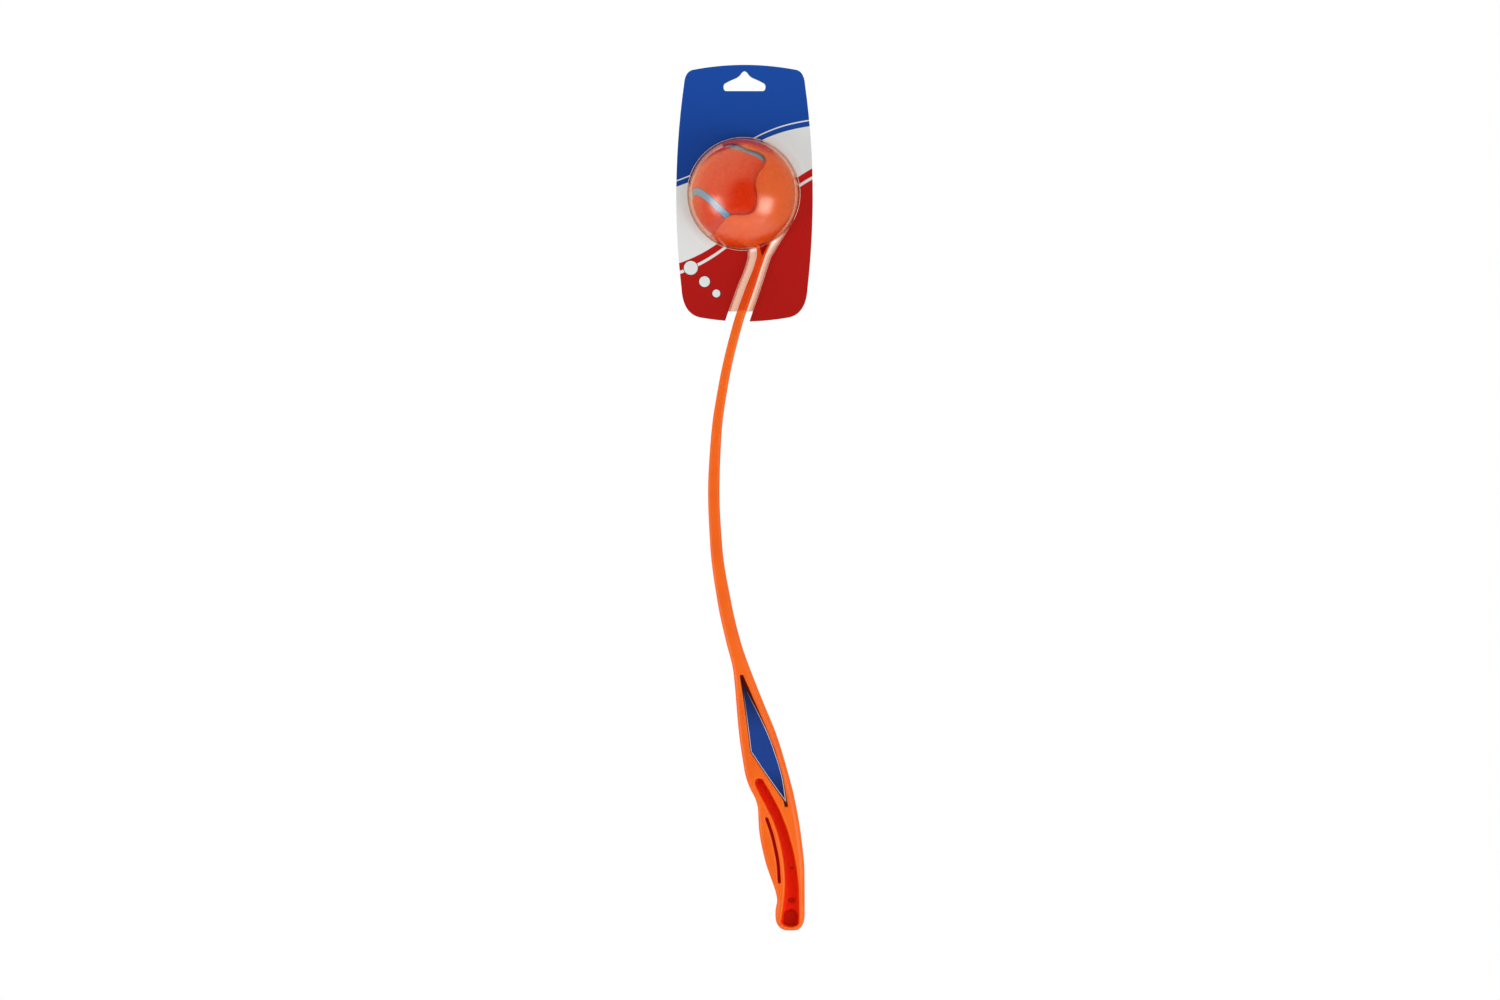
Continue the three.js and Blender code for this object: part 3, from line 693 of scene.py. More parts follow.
def neck_outline(margin):
    """Outline of the blister's neck with its hood, from the bubble down past the card."""
    top = BALL_CENTRE[2] - bubble_radius - NECK_SIDE_ROOM
    level = np.linspace(top, card_bottom - NECK_OVERRUN, NECK_ROWS)
    share = (BALL_CENTRE[2] - level) / ARM_LENGTH
    room = NECK_SIDE_ROOM + margin
    left = arm_point(share, grip_edge(share)) - [NECK_SHIFT + room, 0]
    right = arm_point(share, back_edge(share)) - [NECK_SHIFT - room, 0]
    shoulder = [left[0][0], top + NECK_SIDE_ROOM]
    hood = np.array(HOOD) / math.hypot(*HOOD) * (bubble_radius + margin) + bubble_centre
    return np.concatenate([[bubble_centre, shoulder], left, right[::-1], [hood]])


def past_bubble(points):
    """Distance out from the bubble's edge, in the side view."""
    return np.hypot(*np.moveaxis(points - bubble_centre, -1, 0)) - bubble_radius


def flange_distance(points):
    """Distance out from the flange's outer edge, in the side view."""
    past_neck = outline_distance(neck_outline(0), points)
    return np.minimum(past_neck, past_bubble(points)) - FLANGE_BORDER


def formed_sheet(name, hand):
    """One half of the blister: bubble, neck and flange in one thin sheet with rounded corners."""
    reach = bubble_radius + FLANGE_BORDER + FIELD_MARGIN
    x = np.arange(bubble_x - reach, bubble_x + reach, SHEET_STEP)
    z = np.arange(blister_end - BLISTER_OVERRUN, BALL_CENTRE[2] + reach, SHEET_STEP)
    y = np.concatenate([
        np.arange(-FOOT_STEP, FOOT_HEIGHT, FOOT_STEP),
        np.arange(FOOT_HEIGHT, bubble_radius + FIELD_MARGIN, SHEET_STEP),
    ])
    neck = outline_distance(neck_outline(0), side_grid(x, z))[:, None, :]
    depth = y[None, :, None]
    across = np.hypot(x[:, None] - bubble_x, z[None, :] - BALL_CENTRE[2])[:, None, :]
    tube = rounded(neck, depth - STEM_DEPTH / 2 - NECK_TOP_ROOM - BLISTER_WALL, NECK_ROUNDING)
    formed = smooth_least(np.hypot(across, depth) - bubble_radius, tube, NECK_FILLET)
    places, quads = surface(smooth_least(formed, depth - FLANGE, FLANGE_FILLET), x, y, z)
    border = flange_distance(places[:, [0, 2]])
    keep = (border < 0) & (places[:, 1] > FLANGE / 2)
    used, faces = np.unique(quads[keep[quads].all(1)], return_inverse=True)
    faces = faces.reshape(-1, 4)
    sheet = make_mesh(name, places[used] * [1, hand, 1], faces if hand > 0 else faces[:, ::-1])
    bm = bmesh.new()
    bm.from_mesh(sheet.data)
    bmesh.ops.bisect_plane(
        bm, geom=bm.verts[:] + bm.edges[:] + bm.faces[:], plane_co=(0, 0, blister_end * METRES),
        plane_no=(0, 0, -1), clear_outer=True,
    )
    bm.to_mesh(sheet.data)
    bm.free()
    neck_share = past_bubble(places_of(sheet)[:, [0, 2]]) / NECK_BLEND
    keep_values(sheet, "neck", np.clip(neck_share, 0, 1))
    thick = sheet.modifiers.new("thickness", "SOLIDIFY")
    thick.thickness = SHEET * METRES
    thick.offset = -1
    return baked(sheet)


def curved_outline(curves, half_width, height, top, steps=14):
    """Closed outline from the curves of its right half."""
    here = np.array([0.0, top])
    right = [here]
    for control, end in curves:
        control = np.array([control[0] * half_width, top - control[1] * height])
        end = np.array([end[0] * half_width, top - end[1] * height])
        for t in np.linspace(0, 1, steps + 1)[1:]:
            right.append((1 - t) ** 2 * here + 2 * t * (1 - t) * control + t * t * end)
        here = end
    right = np.array(right)
    return np.concatenate([right, (right[1:-1] * [-1, 1])[::-1]])


def board(name, hand):
    """One printed board with keyhole and hanging slot, pressed up over the blister's flange."""
    outline = curved_outline(CARD_CURVES, CARD_WIDTH / 2, CARD_HEIGHT, CARD_TOP)
    slot = curved_outline(SLOT_CURVES, SLOT_WIDTH / 2, SLOT_HEIGHT, 0)
    hole = bubble_radius + CARD_CLEARANCE
    keyhole = [ellipse(bubble_centre, [hole, hole], KEYHOLE_STEPS), neck_outline(CARD_CLEARANCE)]

    def within(points):
        inside = outline_distance(outline, points) < 0
        for gap in (slot, *keyhole):
            inside &= outline_distance(gap, points) > 0
        return inside

    x = np.arange(-CARD_WIDTH / 2, CARD_WIDTH / 2, PRESS_MESH)
    z = np.arange(card_bottom, CARD_TOP, PRESS_MESH)
    inner = side_grid(x, z).reshape(-1, 2)
    ramp_near = np.abs(flange_distance(inner) - PRESS_RAMP / 2) < PRESS_RAMP
    inner = inner[ramp_near & within(inner)]
    cut_edges = np.concatenate([outline, *keyhole])
    inner = [p for p in inner if np.hypot(*(cut_edges - p).T).min() > PRESS_EDGE_ROOM]
    loops = [outline, slot, *keyhole]
    starts = np.cumsum([0] + [len(loop) for loop in loops])
    edges = [
        (start + i, start + (i + 1) % len(loop))
        for start, loop in zip(starts, loops) for i in range(len(loop))
    ]
    points = [Vector(p) for p in np.concatenate([*loops, np.array(inner)])]
    places, _, triangles, *_ = geometry.delaunay_2d_cdt(points, edges, [], 0, POINT_MERGE)
    places = np.array([tuple(p) for p in places])
    triangles = np.array(triangles)
    triangles = triangles[within(places[triangles].mean(1))]
    rise = np.clip(-flange_distance(places) / PRESS_RAMP + 1, 0, 1)
    rise = FLANGE * rise * rise * (3 - 2 * rise)

    bm = bmesh.new()
    inner_face = [
        bm.verts.new((p[0] * METRES, hand * up * METRES, p[1] * METRES))
        for p, up in zip(places, rise)
    ]
    for triangle in triangles:
        bm.faces.new([inner_face[i] for i in triangle])
    loose = [v for v in inner_face if not v.link_faces]
    bmesh.ops.delete(bm, geom=loose, context="VERTS")
    grown = bmesh.ops.extrude_face_region(bm, geom=bm.faces[:], use_keep_orig=True)
    moved = [v for v in grown["geom"] if isinstance(v, bmesh.types.BMVert)]
    bmesh.ops.translate(bm, verts=moved, vec=(0, hand * CARD_THICKNESS * METRES, 0))
    bmesh.ops.recalc_face_normals(bm, faces=bm.faces)
    mesh = bpy.data.meshes.new(name)
    bm.to_mesh(mesh)
    bm.free()
    mesh.shade_smooth()
    mesh.set_sharp_from_angle(angle=SHARP_ANGLE)
    return new_piece(name, mesh)


def handle_film():
    """The label in the front panel, with its pale border marked for the material."""
    edges = [
        spline(arm_point(*np.array(rows).T), LABEL_STEPS)[:-1]
        for rows in (LABEL_RIGHT, LABEL_LOWER, LABEL_UPPER)
    ]
    front = -(HANDLE_DEPTH / 2 - PANEL_SINK) - LABEL_THICKNESS
    bm = bmesh.new()
    layer = bm.faces.layers.float.new("border")
    face = bm.faces.new([
        bm.verts.new((x * METRES, front * METRES, z * METRES)) for x, z in np.concatenate(edges)
    ])
    face.normal_update()
    if face.normal.y > 0:
        face.normal_flip()
    border = bmesh.ops.inset_region(bm, faces=[face], thickness=LABEL_BORDER * METRES,
                                    use_boundary=True, use_even_offset=False)
    for strip in border["faces"]:
        strip[layer] = 1.0
    grown = bmesh.ops.extrude_edge_only(bm, edges=[e for e in bm.edges if e.is_boundary])
    moved = [v for v in grown["geom"] if isinstance(v, bmesh.types.BMVert)]
    bmesh.ops.translate(bm, verts=moved, vec=(0, LABEL_THICKNESS * METRES, 0))
    bmesh.ops.holes_fill(bm, edges=[e for e in bm.edges if e.is_boundary], sides=0)
    bmesh.ops.recalc_face_normals(bm, faces=bm.faces)
    bmesh.ops.triangulate(bm, faces=[f for f in bm.faces if len(f.verts) > 4])
    mesh = bpy.data.meshes.new("handle_film")
    bm.to_mesh(mesh)
    bm.free()
    return new_piece("handle_film", mesh)


# Materials. A pattern's size is the real one where the render can show it. Where it can't, the
# material says what the real size is and how coarse it is drawn.

# Print of the boards in metres: a wave is [slope, sway, radians a metre, start], an edge is a
# height above its wave, and a disc is [across, up, radius]
INK_EDGE = 0.00012
BLUE_WAVE = [0.4, 0.005, 48.0, 0.6]
RED_WAVE = [0.58, 0.008, 40.0, -0.4]
BLUE_EDGE = -0.0625
RED_EDGE = -0.112
BLUE_LINE = [-0.0585, -0.0575]
RED_LINE = [-0.1205, -0.118]
DISCS = [[-0.041, -0.150, 0.0058], [-0.0305, -0.1605, 0.0046], [-0.0215, -0.1695, 0.0035]]
DISC_RING = 0.0005

# Loose fibres of the felt: how many a square metre, sizes in metres, the lean of each in radians,
# how their sizes vary, and the middle and end of each as shares of length, length and rise
FIBRE_INPUTS = {"Density": 1200000.0, "Length": 0.0011, "Rise": 0.0006, "Thickness": 0.00005}
FIBRE_ROOT = (0, 0, -0.0001)
FIBRE_LEAN = 0.25
FIBRE_VARIES = [0.6, 1.15]
FIBRE_MIDDLE = (0.45, 0.18, 1.0)
FIBRE_END = (1.0, 0.0, 0.25)


def colour(code):
    """Linear colour from an sRGB hex code."""
    parts = [int(code[i:i + 2], 16) / 255 for i in (1, 3, 5)]
    return [*(c / 12.92 if c <= 0.04045 else ((c + 0.055) / 1.055) ** 2.4 for c in parts), 1]


def add(tree, kind, inputs=None, out=0, **settings):
    """Adds a node with settings and its inputs' values or links, and gives one of its outputs."""
    made = tree.nodes.new(kind if "Node" in kind else "ShaderNode" + kind)
    for name, value in settings.items():
        setattr(made, name, value)
    for name, value in (inputs or {}).items():
        if isinstance(value, bpy.types.NodeSocket):
            tree.links.new(value, made.inputs[name])
        else:
            made.inputs[name].default_value = value
    return made.outputs[out] if made.outputs else None


def calc(tree, operation, *values):
    """Result of a sum on values or links."""
    return add(tree, "Math", dict(enumerate(values)), operation=operation)


def ramp(tree, value, span, onto=(0.0, 1.0), **settings):
    """A value's span mapped onto another one, whose ends it never passes."""
    inputs = {"Value": value, 1: span[0], 2: span[1], 3: onto[0], 4: onto[1]}
    return add(tree, "MapRange", inputs, **settings)


def pattern(tree, place, size, detail, roughness=0.5, distortion=0.0, out=0):
    """Noise at a place in metres, with patches of a size in millimetres."""
    return add(tree, "TexNoise", {
        "Vector": place, "Scale": 1 / (size * METRES), "Detail": detail, "Roughness": roughness,
        "Distortion": distortion,
    }, out)


def mix(tree, share, *colours):
    """The first colour turned into the second by a share. Each is a hex code or a link."""
    first, second = (colour(c) if isinstance(c, str) else c for c in colours)
    return add(tree, "Mix", {0: share, 6: first, 7: second}, 2, data_type="RGBA")


def relief(tree, height, distance, strength, under=None):
    """Bumps of a height in metres, over those of another relief if there is one."""
    inputs = {"Height": height, "Distance": distance, "Strength": strength}
    if under is not None:
        inputs["Normal"] = under
    return add(tree, "Bump", inputs)


def kept_value(tree, name):
    """The number that keep_values stored at each point."""
    return add(tree, "Attribute", out="Fac", attribute_name=name)


def new_material(name):
    """A material, its empty node tree and its places on the piece in metres."""
    finish = bpy.data.materials.new(name)
    finish.use_nodes = True
    tree = finish.node_tree
    tree.nodes.clear()
    return finish, tree, add(tree, "TexCoord", out="Object")


def finished(finish, inputs):
    """The material with its surface."""
    shader = add(finish.node_tree, "BsdfPrincipled", inputs)
    add(finish.node_tree, "OutputMaterial", {"Surface": shader})
    return finish


def orange_polypropylene():
    """Injection-moulded polypropylene: satin skin, waxy depth, and a fine parting line round its
    mid-plane. The mould's grain of about 0.1 mm is drawn at 0.9 mm. Its flow marks, scuffs and
    waviness have their own 26, 9 and 4.5 mm. The recesses carry painted shade: a deeper red, near
    black at the panel's bare tips and brighter in the slit, stands in for the light that bounces
    in them and takes the plastic's colour, and a lower specular level stands in for the
    reflections that they shade."""
    finish, tree, place = new_material("orange_moulded_polypropylene")
    y = add(tree, "SeparateXYZ", {0: place}, "Y")
    flow = pattern(tree, place, 26, detail=3)
    peel = pattern(tree, place, 4.5, detail=2)
    skin = pattern(tree, place, 0.9, detail=3, roughness=0.6)
    scuff = pattern(tree, place, 9, detail=6, roughness=0.7)
    body = mix(tree, ramp(tree, flow, (0.35, 0.65)), "#E25E0A", "#E8650C")
    channel_painted_shade = kept_value(tree, "channel_painted_shade")
    hollow = channel_painted_shade
    # Painted shade: each recess turns the body a deeper red, near black at the panel's tips and a
    # brighter red in the slit
    recesses = [
        ("channel_painted_shade", 1.0, "#E82602"), ("deep_painted_shade", 0.6, "#A80800"), ("root", 1.0, "#C80800"),
        ("slit", 1.0, "#FF1400"), ("tips", 1.0, "#520A02"),
    ]
    for name, share, shade in recesses:
        amount = kept_value(tree, name)
        hollow = calc(tree, "MAXIMUM", hollow, amount)
        body = mix(tree, calc(tree, "MULTIPLY", amount, share), body, shade)
    # Painted shade on reflections: the specular level drops in every recess
    sheen = ramp(tree, hollow, (0.0, 1.0), (0.28, 0.06))
    waxy = ramp(tree, channel_painted_shade, (0.0, 1.0), (0.3, 1.0))
    rough = ramp(tree, scuff, (0.3, 0.7), (0.32, 0.4))
    line = ramp(tree, calc(tree, "ABSOLUTE", y), (0.0, 0.00035), (1.0, 0.0))
    bump = relief(tree, peel, 0.00004, 0.5)
    bump = relief(tree, skin, 0.00002, 0.6, under=bump)
    bump = relief(tree, line, 0.00012, 0.6, under=bump)
    return finished(finish, {
        "Base Color": body, "Roughness": rough, "Normal": bump, "IOR": 1.49,
        "Specular IOR Level": sheen, "Subsurface Weight": waxy, "Subsurface Scale": 0.007,
        "Subsurface Radius": (1.0, 0.2, 0.04),
    })


def wool_felt():
    """Needled wool and nylon felt: matted fibres, no gloss, a soft pale bloom at the edges. Its
    fibres of about 0.03 mm are drawn as strands of 0.7 mm, and its clumps at their own 5 mm."""
    finish, tree, place = new_material("orange_needled_felt")
    warp = pattern(tree, place, 3.5, detail=2, out="Color")
    bend = add(tree, "VectorMath", {0: warp, 1: (0.004, 0.004, 0.004)}, operation="MULTIPLY")
    bent = add(tree, "VectorMath", {0: place, 1: bend}, operation="ADD")
    hairs = pattern(tree, bent, 0.7, detail=5, roughness=0.75, distortion=1.2)
    clumps = pattern(tree, place, 5, detail=3)
    light = ramp(tree, hairs, (0.3, 0.72))
    worn = ramp(tree, clumps, (0.35, 0.7), (0.0, 0.35))
    body = mix(tree, light, "#DA2401", "#EE460A")
    body = mix(tree, worn, body, "#E83C08")
    nap = relief(tree, hairs, 0.0004, 0.9)
    return finished(finish, {
        "Base Color": body, "Roughness": 0.95, "Normal": nap, "Specular IOR Level": 0.05,
        "Sheen Weight": 0.05, "Sheen Roughness": 0.5, "Sheen Tint": colour("#FF8040"),
    })


def felt_fibre():
    """Loose ends of the felt's dyed fibres, painted paler than the mat below as a painted
    highlight where they catch the light.
    """
    finish, tree, place = new_material("orange_felt_fibres")
    dye = pattern(tree, place, 1.6, detail=3)
    # Painted highlight: the loose fibres are coloured paler than the felt's mat
    body = mix(tree, ramp(tree, dye, (0.35, 0.65)), "#EE4A10", "#FF8244")
    return finished(finish, {"Base Color": body, "Roughness": 0.9, "Specular IOR Level": 0.05})


def seam_rubber():
    """Cured rubber cement: matte pale blue with a slightly pitted skin. Its pits of about 0.3 mm
    are drawn at 1.1 mm."""
    finish, tree, place = new_material("pale_blue_cured_rubber")
    pits = pattern(tree, place, 1.1, detail=4)
    body = mix(tree, ramp(tree, pits, (0.35, 0.65)), "#569CD0", "#6CB0DE")
    skin = relief(tree, pits, 0.0001, 0.5)
    return finished(finish, {"Base Color": body, "Roughness": 0.65, "Normal": skin})


def core_rubber():
    """Pressed black rubber of the ball's core: dull, with a fine grain of 0.8 mm."""
    finish, tree, place = new_material("black_pressed_rubber")
    grain = pattern(tree, place, 0.8, detail=4)
    body = mix(tree, grain, "#242426", "#333335")
    skin = relief(tree, grain, 0.0001, 0.4)
    return finished(finish, {"Base Color": body, "Roughness": 0.8, "Normal": skin})


def printed_board():
    """Offset-printed coated board under a gloss varnish: flat inks with crisp edges over faint
    fibres. Those of about 0.03 mm are drawn at 0.5 mm, and the slight curl at its own 18 mm."""
    finish, tree, place = new_material("varnished_printed_board")
    axes = add(tree, "SeparateXYZ", {0: place}).node
    x, z = axes.outputs["X"], axes.outputs["Z"]

    def past(distance, edge):
        """1 where the distance is past the edge, else 0."""
        return ramp(tree, distance, (edge - INK_EDGE, edge + INK_EDGE))

    def wave(slope, bend, rate, shift):
        """Height above a slanting wave."""
        turn = calc(tree, "MULTIPLY_ADD", x, rate, shift)
        sway = calc(tree, "MULTIPLY", calc(tree, "SINE", turn), bend)
        line = calc(tree, "MULTIPLY_ADD", x, slope, sway)
        return calc(tree, "SUBTRACT", z, line)

    pale = "#D8DCDB"
    blue = mix(tree, ramp(tree, z, (-0.09, 0.0)), "#0E3E92", "#13479E")
    red = mix(tree, ramp(tree, z, (-0.19, -0.08)), "#A50E07", "#B1120B")
    upper, lower = wave(*BLUE_WAVE), wave(*RED_WAVE)
    face = mix(tree, past(lower, RED_EDGE), red, pale)
    face = mix(tree, past(upper, BLUE_EDGE), face, blue)
    for height, (line_start, line_end) in ((lower, RED_LINE), (upper, BLUE_LINE)):
        lined = mix(tree, past(height, line_start), face, pale)
        face = mix(tree, past(height, line_end), lined, face)
    for across, up, radius in DISCS:
        off = add(tree, "VectorMath", {0: place, 1: (across, 0, up)}, operation="SUBTRACT")
        flat = add(tree, "VectorMath", {0: off, 1: (1, 0, 1)}, operation="MULTIPLY")
        away = add(tree, "VectorMath", {0: flat}, "Value", operation="LENGTH")
        inward = calc(tree, "SUBTRACT", radius, away)
        face = mix(tree, past(inward, 0.0), face, "#4A1512")
        face = mix(tree, past(inward, DISC_RING), face, pale)
    fibre = pattern(tree, place, 0.5, detail=4)
    face = mix(tree, ramp(tree, fibre, (0.3, 0.7), (0.0, 0.005)), face, "#FFFFFF")
    curl = pattern(tree, place, 18, detail=2)
    bump = relief(tree, curl, 0.0004, 0.5)
    bump = relief(tree, fibre, 0.000006, 0.5, under=bump)
    return finished(finish, {
        "Base Color": face, "Roughness": 0.26, "Normal": bump, "IOR": 1.45,
        "Specular IOR Level": 0.18,
    })


def board_core():
    """The cut edge of the board: bare pale fibres. Those of about 0.03 mm are drawn at 0.6 mm."""
    finish, tree, place = new_material("cut_board_edge")
    fibre = pattern(tree, place, 0.6, detail=4)
    body = mix(tree, fibre, "#BDB8AE", "#DAD6CE")
    rag = relief(tree, fibre, 0.0001, 0.6)
    return finished(finish, {"Base Color": body, "Roughness": 0.9, "Normal": rag})


def label_film():
    """Printed polypropylene film: navy ink in a pale border. Painted shade darkens the ink towards
    both tips and the border near the upper tip. Its grain of about 0.05 mm is drawn at 0.8 mm."""
    finish, tree, place = new_material("printed_label_film")
    z = add(tree, "SeparateXYZ", {0: place}, "Z")
    edge = kept_value(tree, "border")
    # Painted shade of the recess's ends: on the ink at both tips, and on the border at the upper
    # tip
    upper = ramp(tree, z, (-0.502, -0.472))
    lower = ramp(tree, z, (-0.556, -0.532), (1.0, 0.0))
    deep_painted_shade = calc(tree, "MULTIPLY", calc(tree, "MAXIMUM", upper, lower), 0.85)
    grain = pattern(tree, place, 0.8, detail=3)
    ink = mix(tree, ramp(tree, grain, (0.3, 0.7)), "#123782", "#173D8A")
    ink = mix(tree, deep_painted_shade, ink, "#0A0F26")
    border = mix(tree, upper, "#D0BEC6", "#2A1014")
    face = mix(tree, edge, ink, border)
    skin = relief(tree, grain, 0.00001, 0.4)
    return finished(finish, {"Base Color": face, "Roughness": 0.28, "Normal": skin})


def clear_sheet():
    """Vacuum-formed clear polyester, wavy over 14 mm and hazy over 6 mm as such sheet is. Seen at
    a low angle it mirrors more. Its tint is painted shade: an orange at low angles and over the
    neck, stronger on the neck's rear half, stands in for light bounced off what it holds, and a
    brown at its steepest edges stands in for the dark lines that refraction draws there."""
    finish, tree, place = new_material("clear_formed_polyester")
    draw = pattern(tree, place, 14, detail=2)
    ripple = relief(tree, draw, 0.0003, 0.3)
    haze = pattern(tree, place, 6, detail=5)
    rough = ramp(tree, haze, (0.3, 0.7), (0.24, 0.3))
    gloss = add(tree, "BsdfAnisotropic", {
        "Color": colour("#FFF2E6"), "Roughness": rough, "Normal": ripple,
    }, distribution="BECKMANN")
    # Painted shade in the tint: orange at low angles and over the neck, stronger on the rear half
    # of the neck, and brown at the steepest edges
    glancing = add(tree, "LayerWeight", {"Blend": 0.5}, "Facing")
    tint = mix(tree, ramp(tree, glancing, (0.1, 0.7)), "#FFFAF8", "#FAE4DA")
    neck = kept_value(tree, "neck")
    y = add(tree, "SeparateXYZ", {0: place}, "Y")
    neck_painted_shade = mix(tree, calc(tree, "GREATER_THAN", y, 0.0), "#FFEEE6", "#F4E8E2")
    tint = mix(tree, neck, tint, neck_painted_shade)
    tint = mix(tree, ramp(tree, glancing, (0.75, 1.0)), tint, "#A87E6C")
    clear = add(tree, "BsdfTransparent", {"Color": tint})
    inside = add(tree, "NewGeometry", out="Backfacing")
    bend = ramp(tree, inside, (0.0, 1.0), (1.5, 1 / 1.5))
    share = add(tree, "Fresnel", {"IOR": bend, "Normal": ripple})
    sheet = add(tree, "MixShader", {0: share, 1: clear, 2: gloss})
    add(tree, "OutputMaterial", {"Surface": sheet})
    return finish


def grow_nap(panel, name, seed, finish):
    """Short loose fibres that lie over a felt panel. The real ones are about 0.03 mm thick. These
    are 0.1 mm thick, and fewer, so that they show."""
    tree = bpy.data.node_groups.new(name, "GeometryNodeTree")
    socket = tree.interface.new_socket
    socket("Geometry", in_out="INPUT", socket_type="NodeSocketGeometry")
    for label, value in FIBRE_INPUTS.items():
        socket(label, in_out="INPUT", socket_type="NodeSocketFloat").default_value = value
    socket("Seed", in_out="INPUT", socket_type="NodeSocketInt").default_value = seed
    socket("Geometry", in_out="OUTPUT", socket_type="NodeSocketGeometry")
    given = tree.nodes.new("NodeGroupInput").outputs
    outside = add(tree, "GeometryNodeInputNamedAttribute", {"Name": "outside"}, data_type="FLOAT")
    spread = add(tree, "GeometryNodeDistributePointsOnFaces", {
        "Mesh": given["Geometry"], "Selection": outside, "Density": given["Density"],
        "Seed": given["Seed"],
    })
    turn = add(tree, "FunctionNodeRandomValue", {
        0: (-FIBRE_LEAN, -FIBRE_LEAN, 0.0), 1: (FIBRE_LEAN, FIBRE_LEAN, math.tau),
        "Seed": given["Seed"],
    }, data_type="FLOAT_VECTOR")
    laid = add(tree, "FunctionNodeRotateRotation", {
        "Rotation": spread.node.outputs["Rotation"], "Rotate By": turn,
    }, rotation_space="LOCAL")
    size = add(tree, "CombineXYZ", {
        "X": given["Length"], "Y": given["Length"], "Z": given["Rise"],
    })
    middle = add(tree, "VectorMath", {0: size, 1: FIBRE_MIDDLE}, operation="MULTIPLY")
    end = add(tree, "VectorMath", {0: size, 1: FIBRE_END}, operation="MULTIPLY")
    curve = add(tree, "GeometryNodeCurveQuadraticBezier", {
        "Resolution": 2, "Start": FIBRE_ROOT, "Middle": middle, "End": end,
    })
    ring = add(tree, "GeometryNodeCurvePrimitiveCircle", {
        "Resolution": 3, "Radius": given["Thickness"],
    })
    fibre = add(tree, "GeometryNodeCurveToMesh", {
        "Curve": curve, "Profile Curve": ring, "Fill Caps": False,
    })
    scale = add(tree, "FunctionNodeRandomValue", {
        2: FIBRE_VARIES[0], 3: FIBRE_VARIES[1], "Seed": given["Seed"],
    }, 1, data_type="FLOAT")
    grown = add(tree, "GeometryNodeInstanceOnPoints", {
        "Points": spread, "Instance": fibre, "Rotation": laid, "Scale": scale,
    })
    plain = add(tree, "GeometryNodeRealizeInstances", {"Geometry": grown})
    dressed = add(tree, "GeometryNodeSetMaterial", {"Geometry": plain, "Material": finish})
    add(tree, "NodeGroupOutput", {0: dressed})
    nap = new_piece(name, panel.data.copy())
    nap.modifiers.new("nap", "NODES").node_group = tree
    return baked(nap)


def dress(piece, body, slot, finish, *nodes):
    """Gives a piece its material and body, and hides the CAD nodes that it stands for. The slot is
    not used.
    """
    piece.data.materials.clear()
    piece.data.materials.append(finish)
    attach(piece, body)
    if nodes:
        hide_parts(*nodes)
    return piece


PACK, BALL = "packed_thrower", "ball"
dress(throwing_arm(), PACK, "arm_plastic", orange_polypropylene(), "thrower_arm")
dress(handle_film(), PACK, "label_film", label_film(), "handle_label")
felt, fibre = wool_felt(), felt_fibre()
for seed, (panel, node_name) in enumerate(zip(felt_panels(), ("felt_panel_a", "felt_panel_b"))):
    dress(panel, BALL, "orange_felt", felt, node_name)
    dress(grow_nap(panel, panel.name + "_nap", seed, fibre), BALL, "orange_felt", fibre)
dress(seam_strip(), BALL, "seam_rubber", seam_rubber(), "ball_seam")
rubber = core_rubber()
for node_name in ("ball_core_half_a", "ball_core_half_b"):
    frame["nodes"][node_name].data.materials.clear()
    frame["nodes"][node_name].data.materials.append(rubber)
print_finish, edge_finish, sheet_finish = printed_board(), board_core(), clear_sheet()
for end, hand in (("front", -1), ("rear", 1)):
    card = board("printed_board_" + end, hand)
    dress(card, PACK, "printed_card", print_finish, "card_" + end)
    card.data.materials.append(edge_finish)
    for face in card.data.polygons:
        face.material_index = 0 if abs(face.normal.y) > 0.5 else 1
    sheet = formed_sheet("formed_blister_" + end, hand)
    dress(sheet, PACK, "clear_blister", sheet_finish, "blister_" + end)


# Floor, lamps, world and camera
FLOOR_LEVEL = -1.0
FLOOR_RADIUS = 1.5
FLOOR_FADE = [0.7, 1.45]
WORLD_LIGHT = 0.65
CAMERA_DISTANCE = 4.0
PHOTO_WIDTH = 1.14525
PHOTO_MIDDLE = (0.0042, -0.3272)


def pale_floor():
    """Pale round floor under the hanging pack, fading out towards its edge."""
    bm = bmesh.new()
    level = Matrix.Translation((0, 0, FLOOR_LEVEL))
    bmesh.ops.create_circle(bm, cap_ends=True, segments=96, radius=FLOOR_RADIUS, matrix=level)
    mesh = bpy.data.meshes.new("floor")
    bm.to_mesh(mesh)
    bm.free()
    finish, tree, place = new_material("pale_floor")
    flat = add(tree, "VectorMath", {0: place, 1: (1, 1, 0)}, operation="MULTIPLY")
    away = add(tree, "VectorMath", {0: flat}, "Value", operation="LENGTH")
    fade = ramp(tree, away, FLOOR_FADE, interpolation_type="SMOOTHSTEP")
    matt = add(tree, "BsdfDiffuse", {"Color": colour("#F4F4F4")})
    shader = add(tree, "MixShader", {0: fade, 1: matt, 2: add(tree, "BsdfTransparent")})
    add(tree, "OutputMaterial", {"Surface": shader})
    mesh.materials.append(finish)
    new_piece("floor", mesh)


def soft_box(name, place, target, size, power, mirrored=True):
    """Soft lamp that faces the target. Gloss shows it only where it is mirrored."""
    lamp = bpy.data.lights.new(name, "AREA")
    lamp.shape = "RECTANGLE"
    lamp.size, lamp.size_y = size
    lamp.energy = power
    piece = new_piece(name, lamp)
    piece.location = place
    piece.rotation_euler = (Vector(target) - Vector(place)).to_track_quat("-Z", "Y").to_euler()
    piece.visible_glossy = mirrored


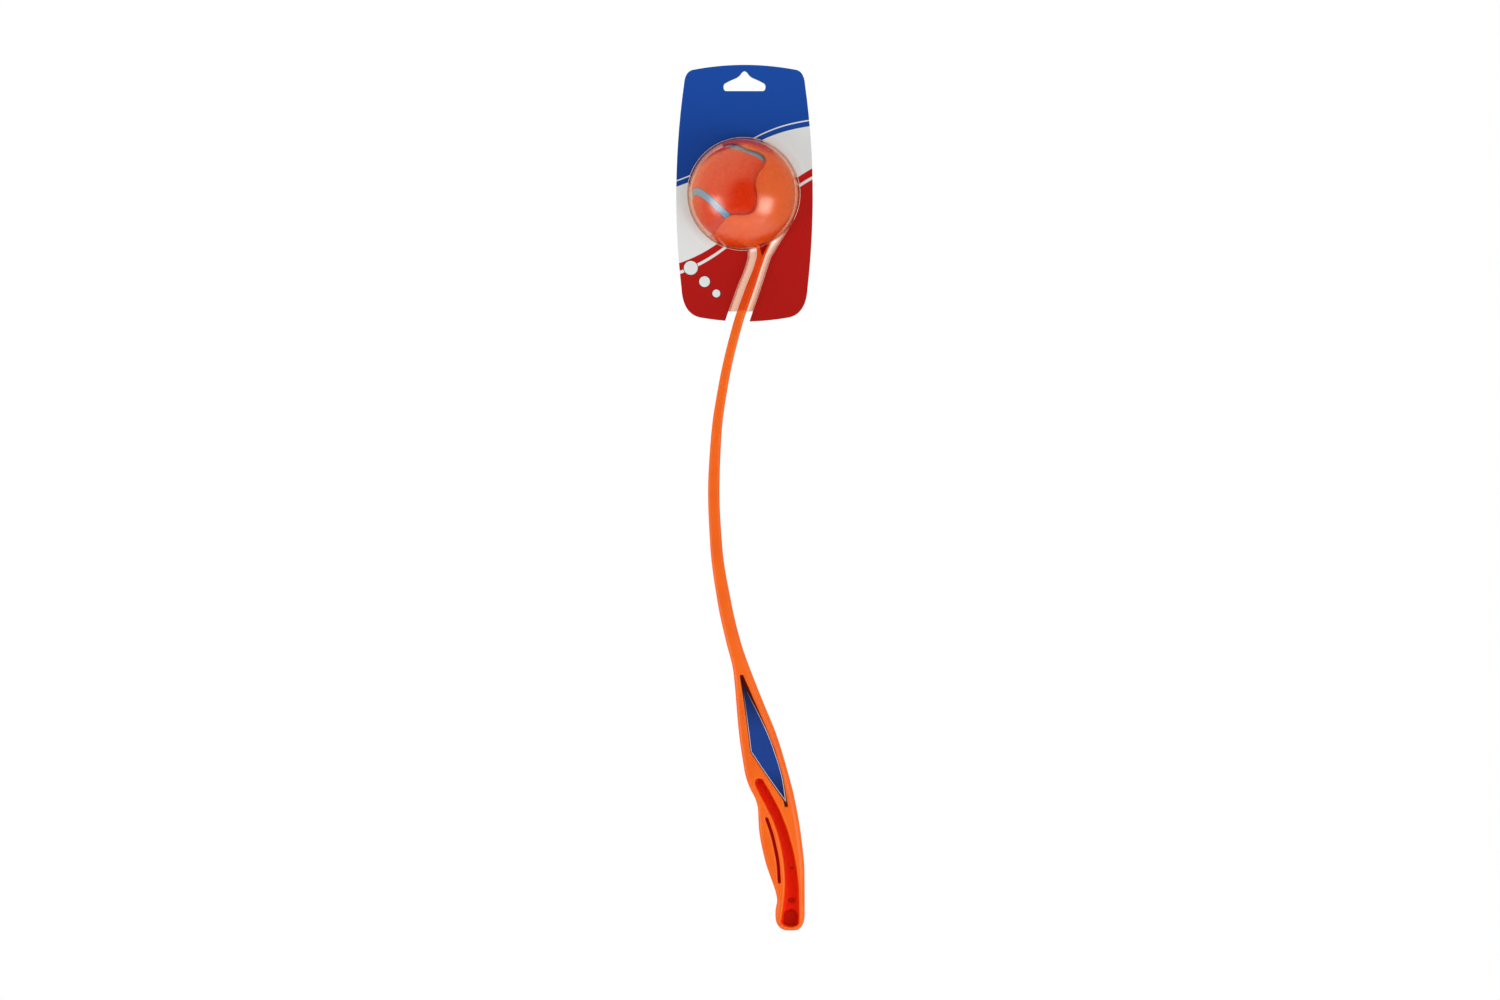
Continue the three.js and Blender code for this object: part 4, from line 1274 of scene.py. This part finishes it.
def studio_world():
    """White to the camera, dimmer as light. Mirrored, it is slightly warm, bright behind and
    beside the object and most of all high on the left, and dark where the camera stands."""
    world = bpy.data.worlds.new("studio")
    bpy.context.scene.world = world
    world.use_nodes = True
    tree = world.node_tree
    tree.nodes.clear()
    rays = add(tree, "LightPath").node.outputs
    direction = add(tree, "TexCoord", out="Generated")
    axes = add(tree, "SeparateXYZ", {0: direction}).node.outputs
    above = calc(tree, "MAXIMUM", axes["Z"], 0.0)
    aside = add(tree, "CombineXYZ", {"X": axes["X"], "Y": above})
    aside = add(tree, "VectorMath", {0: aside}, "Value", operation="LENGTH")
    beside = ramp(tree, aside, (0.28, 0.6), (0.0, 0.6), interpolation_type="SMOOTHSTEP")
    high_left = add(tree, "VectorMath", {
        0: direction, 1: (-0.7, 0.0, 0.7),
    }, "Value", operation="DOT_PRODUCT")
    lift = ramp(tree, high_left, (0.1, 0.8), (1.0, 2.4))
    beside = calc(tree, "MULTIPLY", beside, lift)
    behind = ramp(tree, axes["Y"], (-0.3, 0.4), (0.0, 0.2), interpolation_type="SMOOTHSTEP")
    mirrored = calc(tree, "MAXIMUM", beside, behind)
    light = add(tree, "Mix", {0: rays["Is Glossy Ray"], 2: WORLD_LIGHT, 3: mirrored})
    seen = calc(tree, "MAXIMUM", rays["Is Camera Ray"], rays["Is Transmission Ray"])
    strength = add(tree, "Mix", {0: seen, 2: light, 3: 1.0})
    shade = mix(tree, rays["Is Glossy Ray"], "#FFFFFF", "#FFF0C8")
    back = add(tree, "Background", {"Color": shade, "Strength": strength})
    add(tree, "OutputWorld", {"Surface": back})


pale_floor()
studio_world()
soft_box("soft_box_left", (-1.0, -0.55, -0.55), (0, 0, -0.35), (0.56, 0.6), 5.0)
soft_box("soft_box_right", (0.8, -0.69, -0.585), (0, 0, -0.35), (0.56, 0.6), 5.0)
soft_box("soft_box_above", (0.0, -0.12, 0.8), (0, 0, -0.1), (0.9, 0.5), 2.5, mirrored=False)
soft_box("soft_box_rear", (0.4, 1.3, 0.1), (0, 0, -0.3), (0.9, 0.9), 4.0, mirrored=False)

camera = bpy.data.cameras.new("camera")
camera.lens = camera.sensor_width * CAMERA_DISTANCE / PHOTO_WIDTH
camera_piece = new_piece("camera", camera)
camera_piece.location = (PHOTO_MIDDLE[0], -CAMERA_DISTANCE, PHOTO_MIDDLE[1])
camera_piece.rotation_euler = (math.pi / 2, 0, 0)
bpy.context.scene.camera = camera_piece
bpy.context.scene.view_settings.view_transform = "Standard"
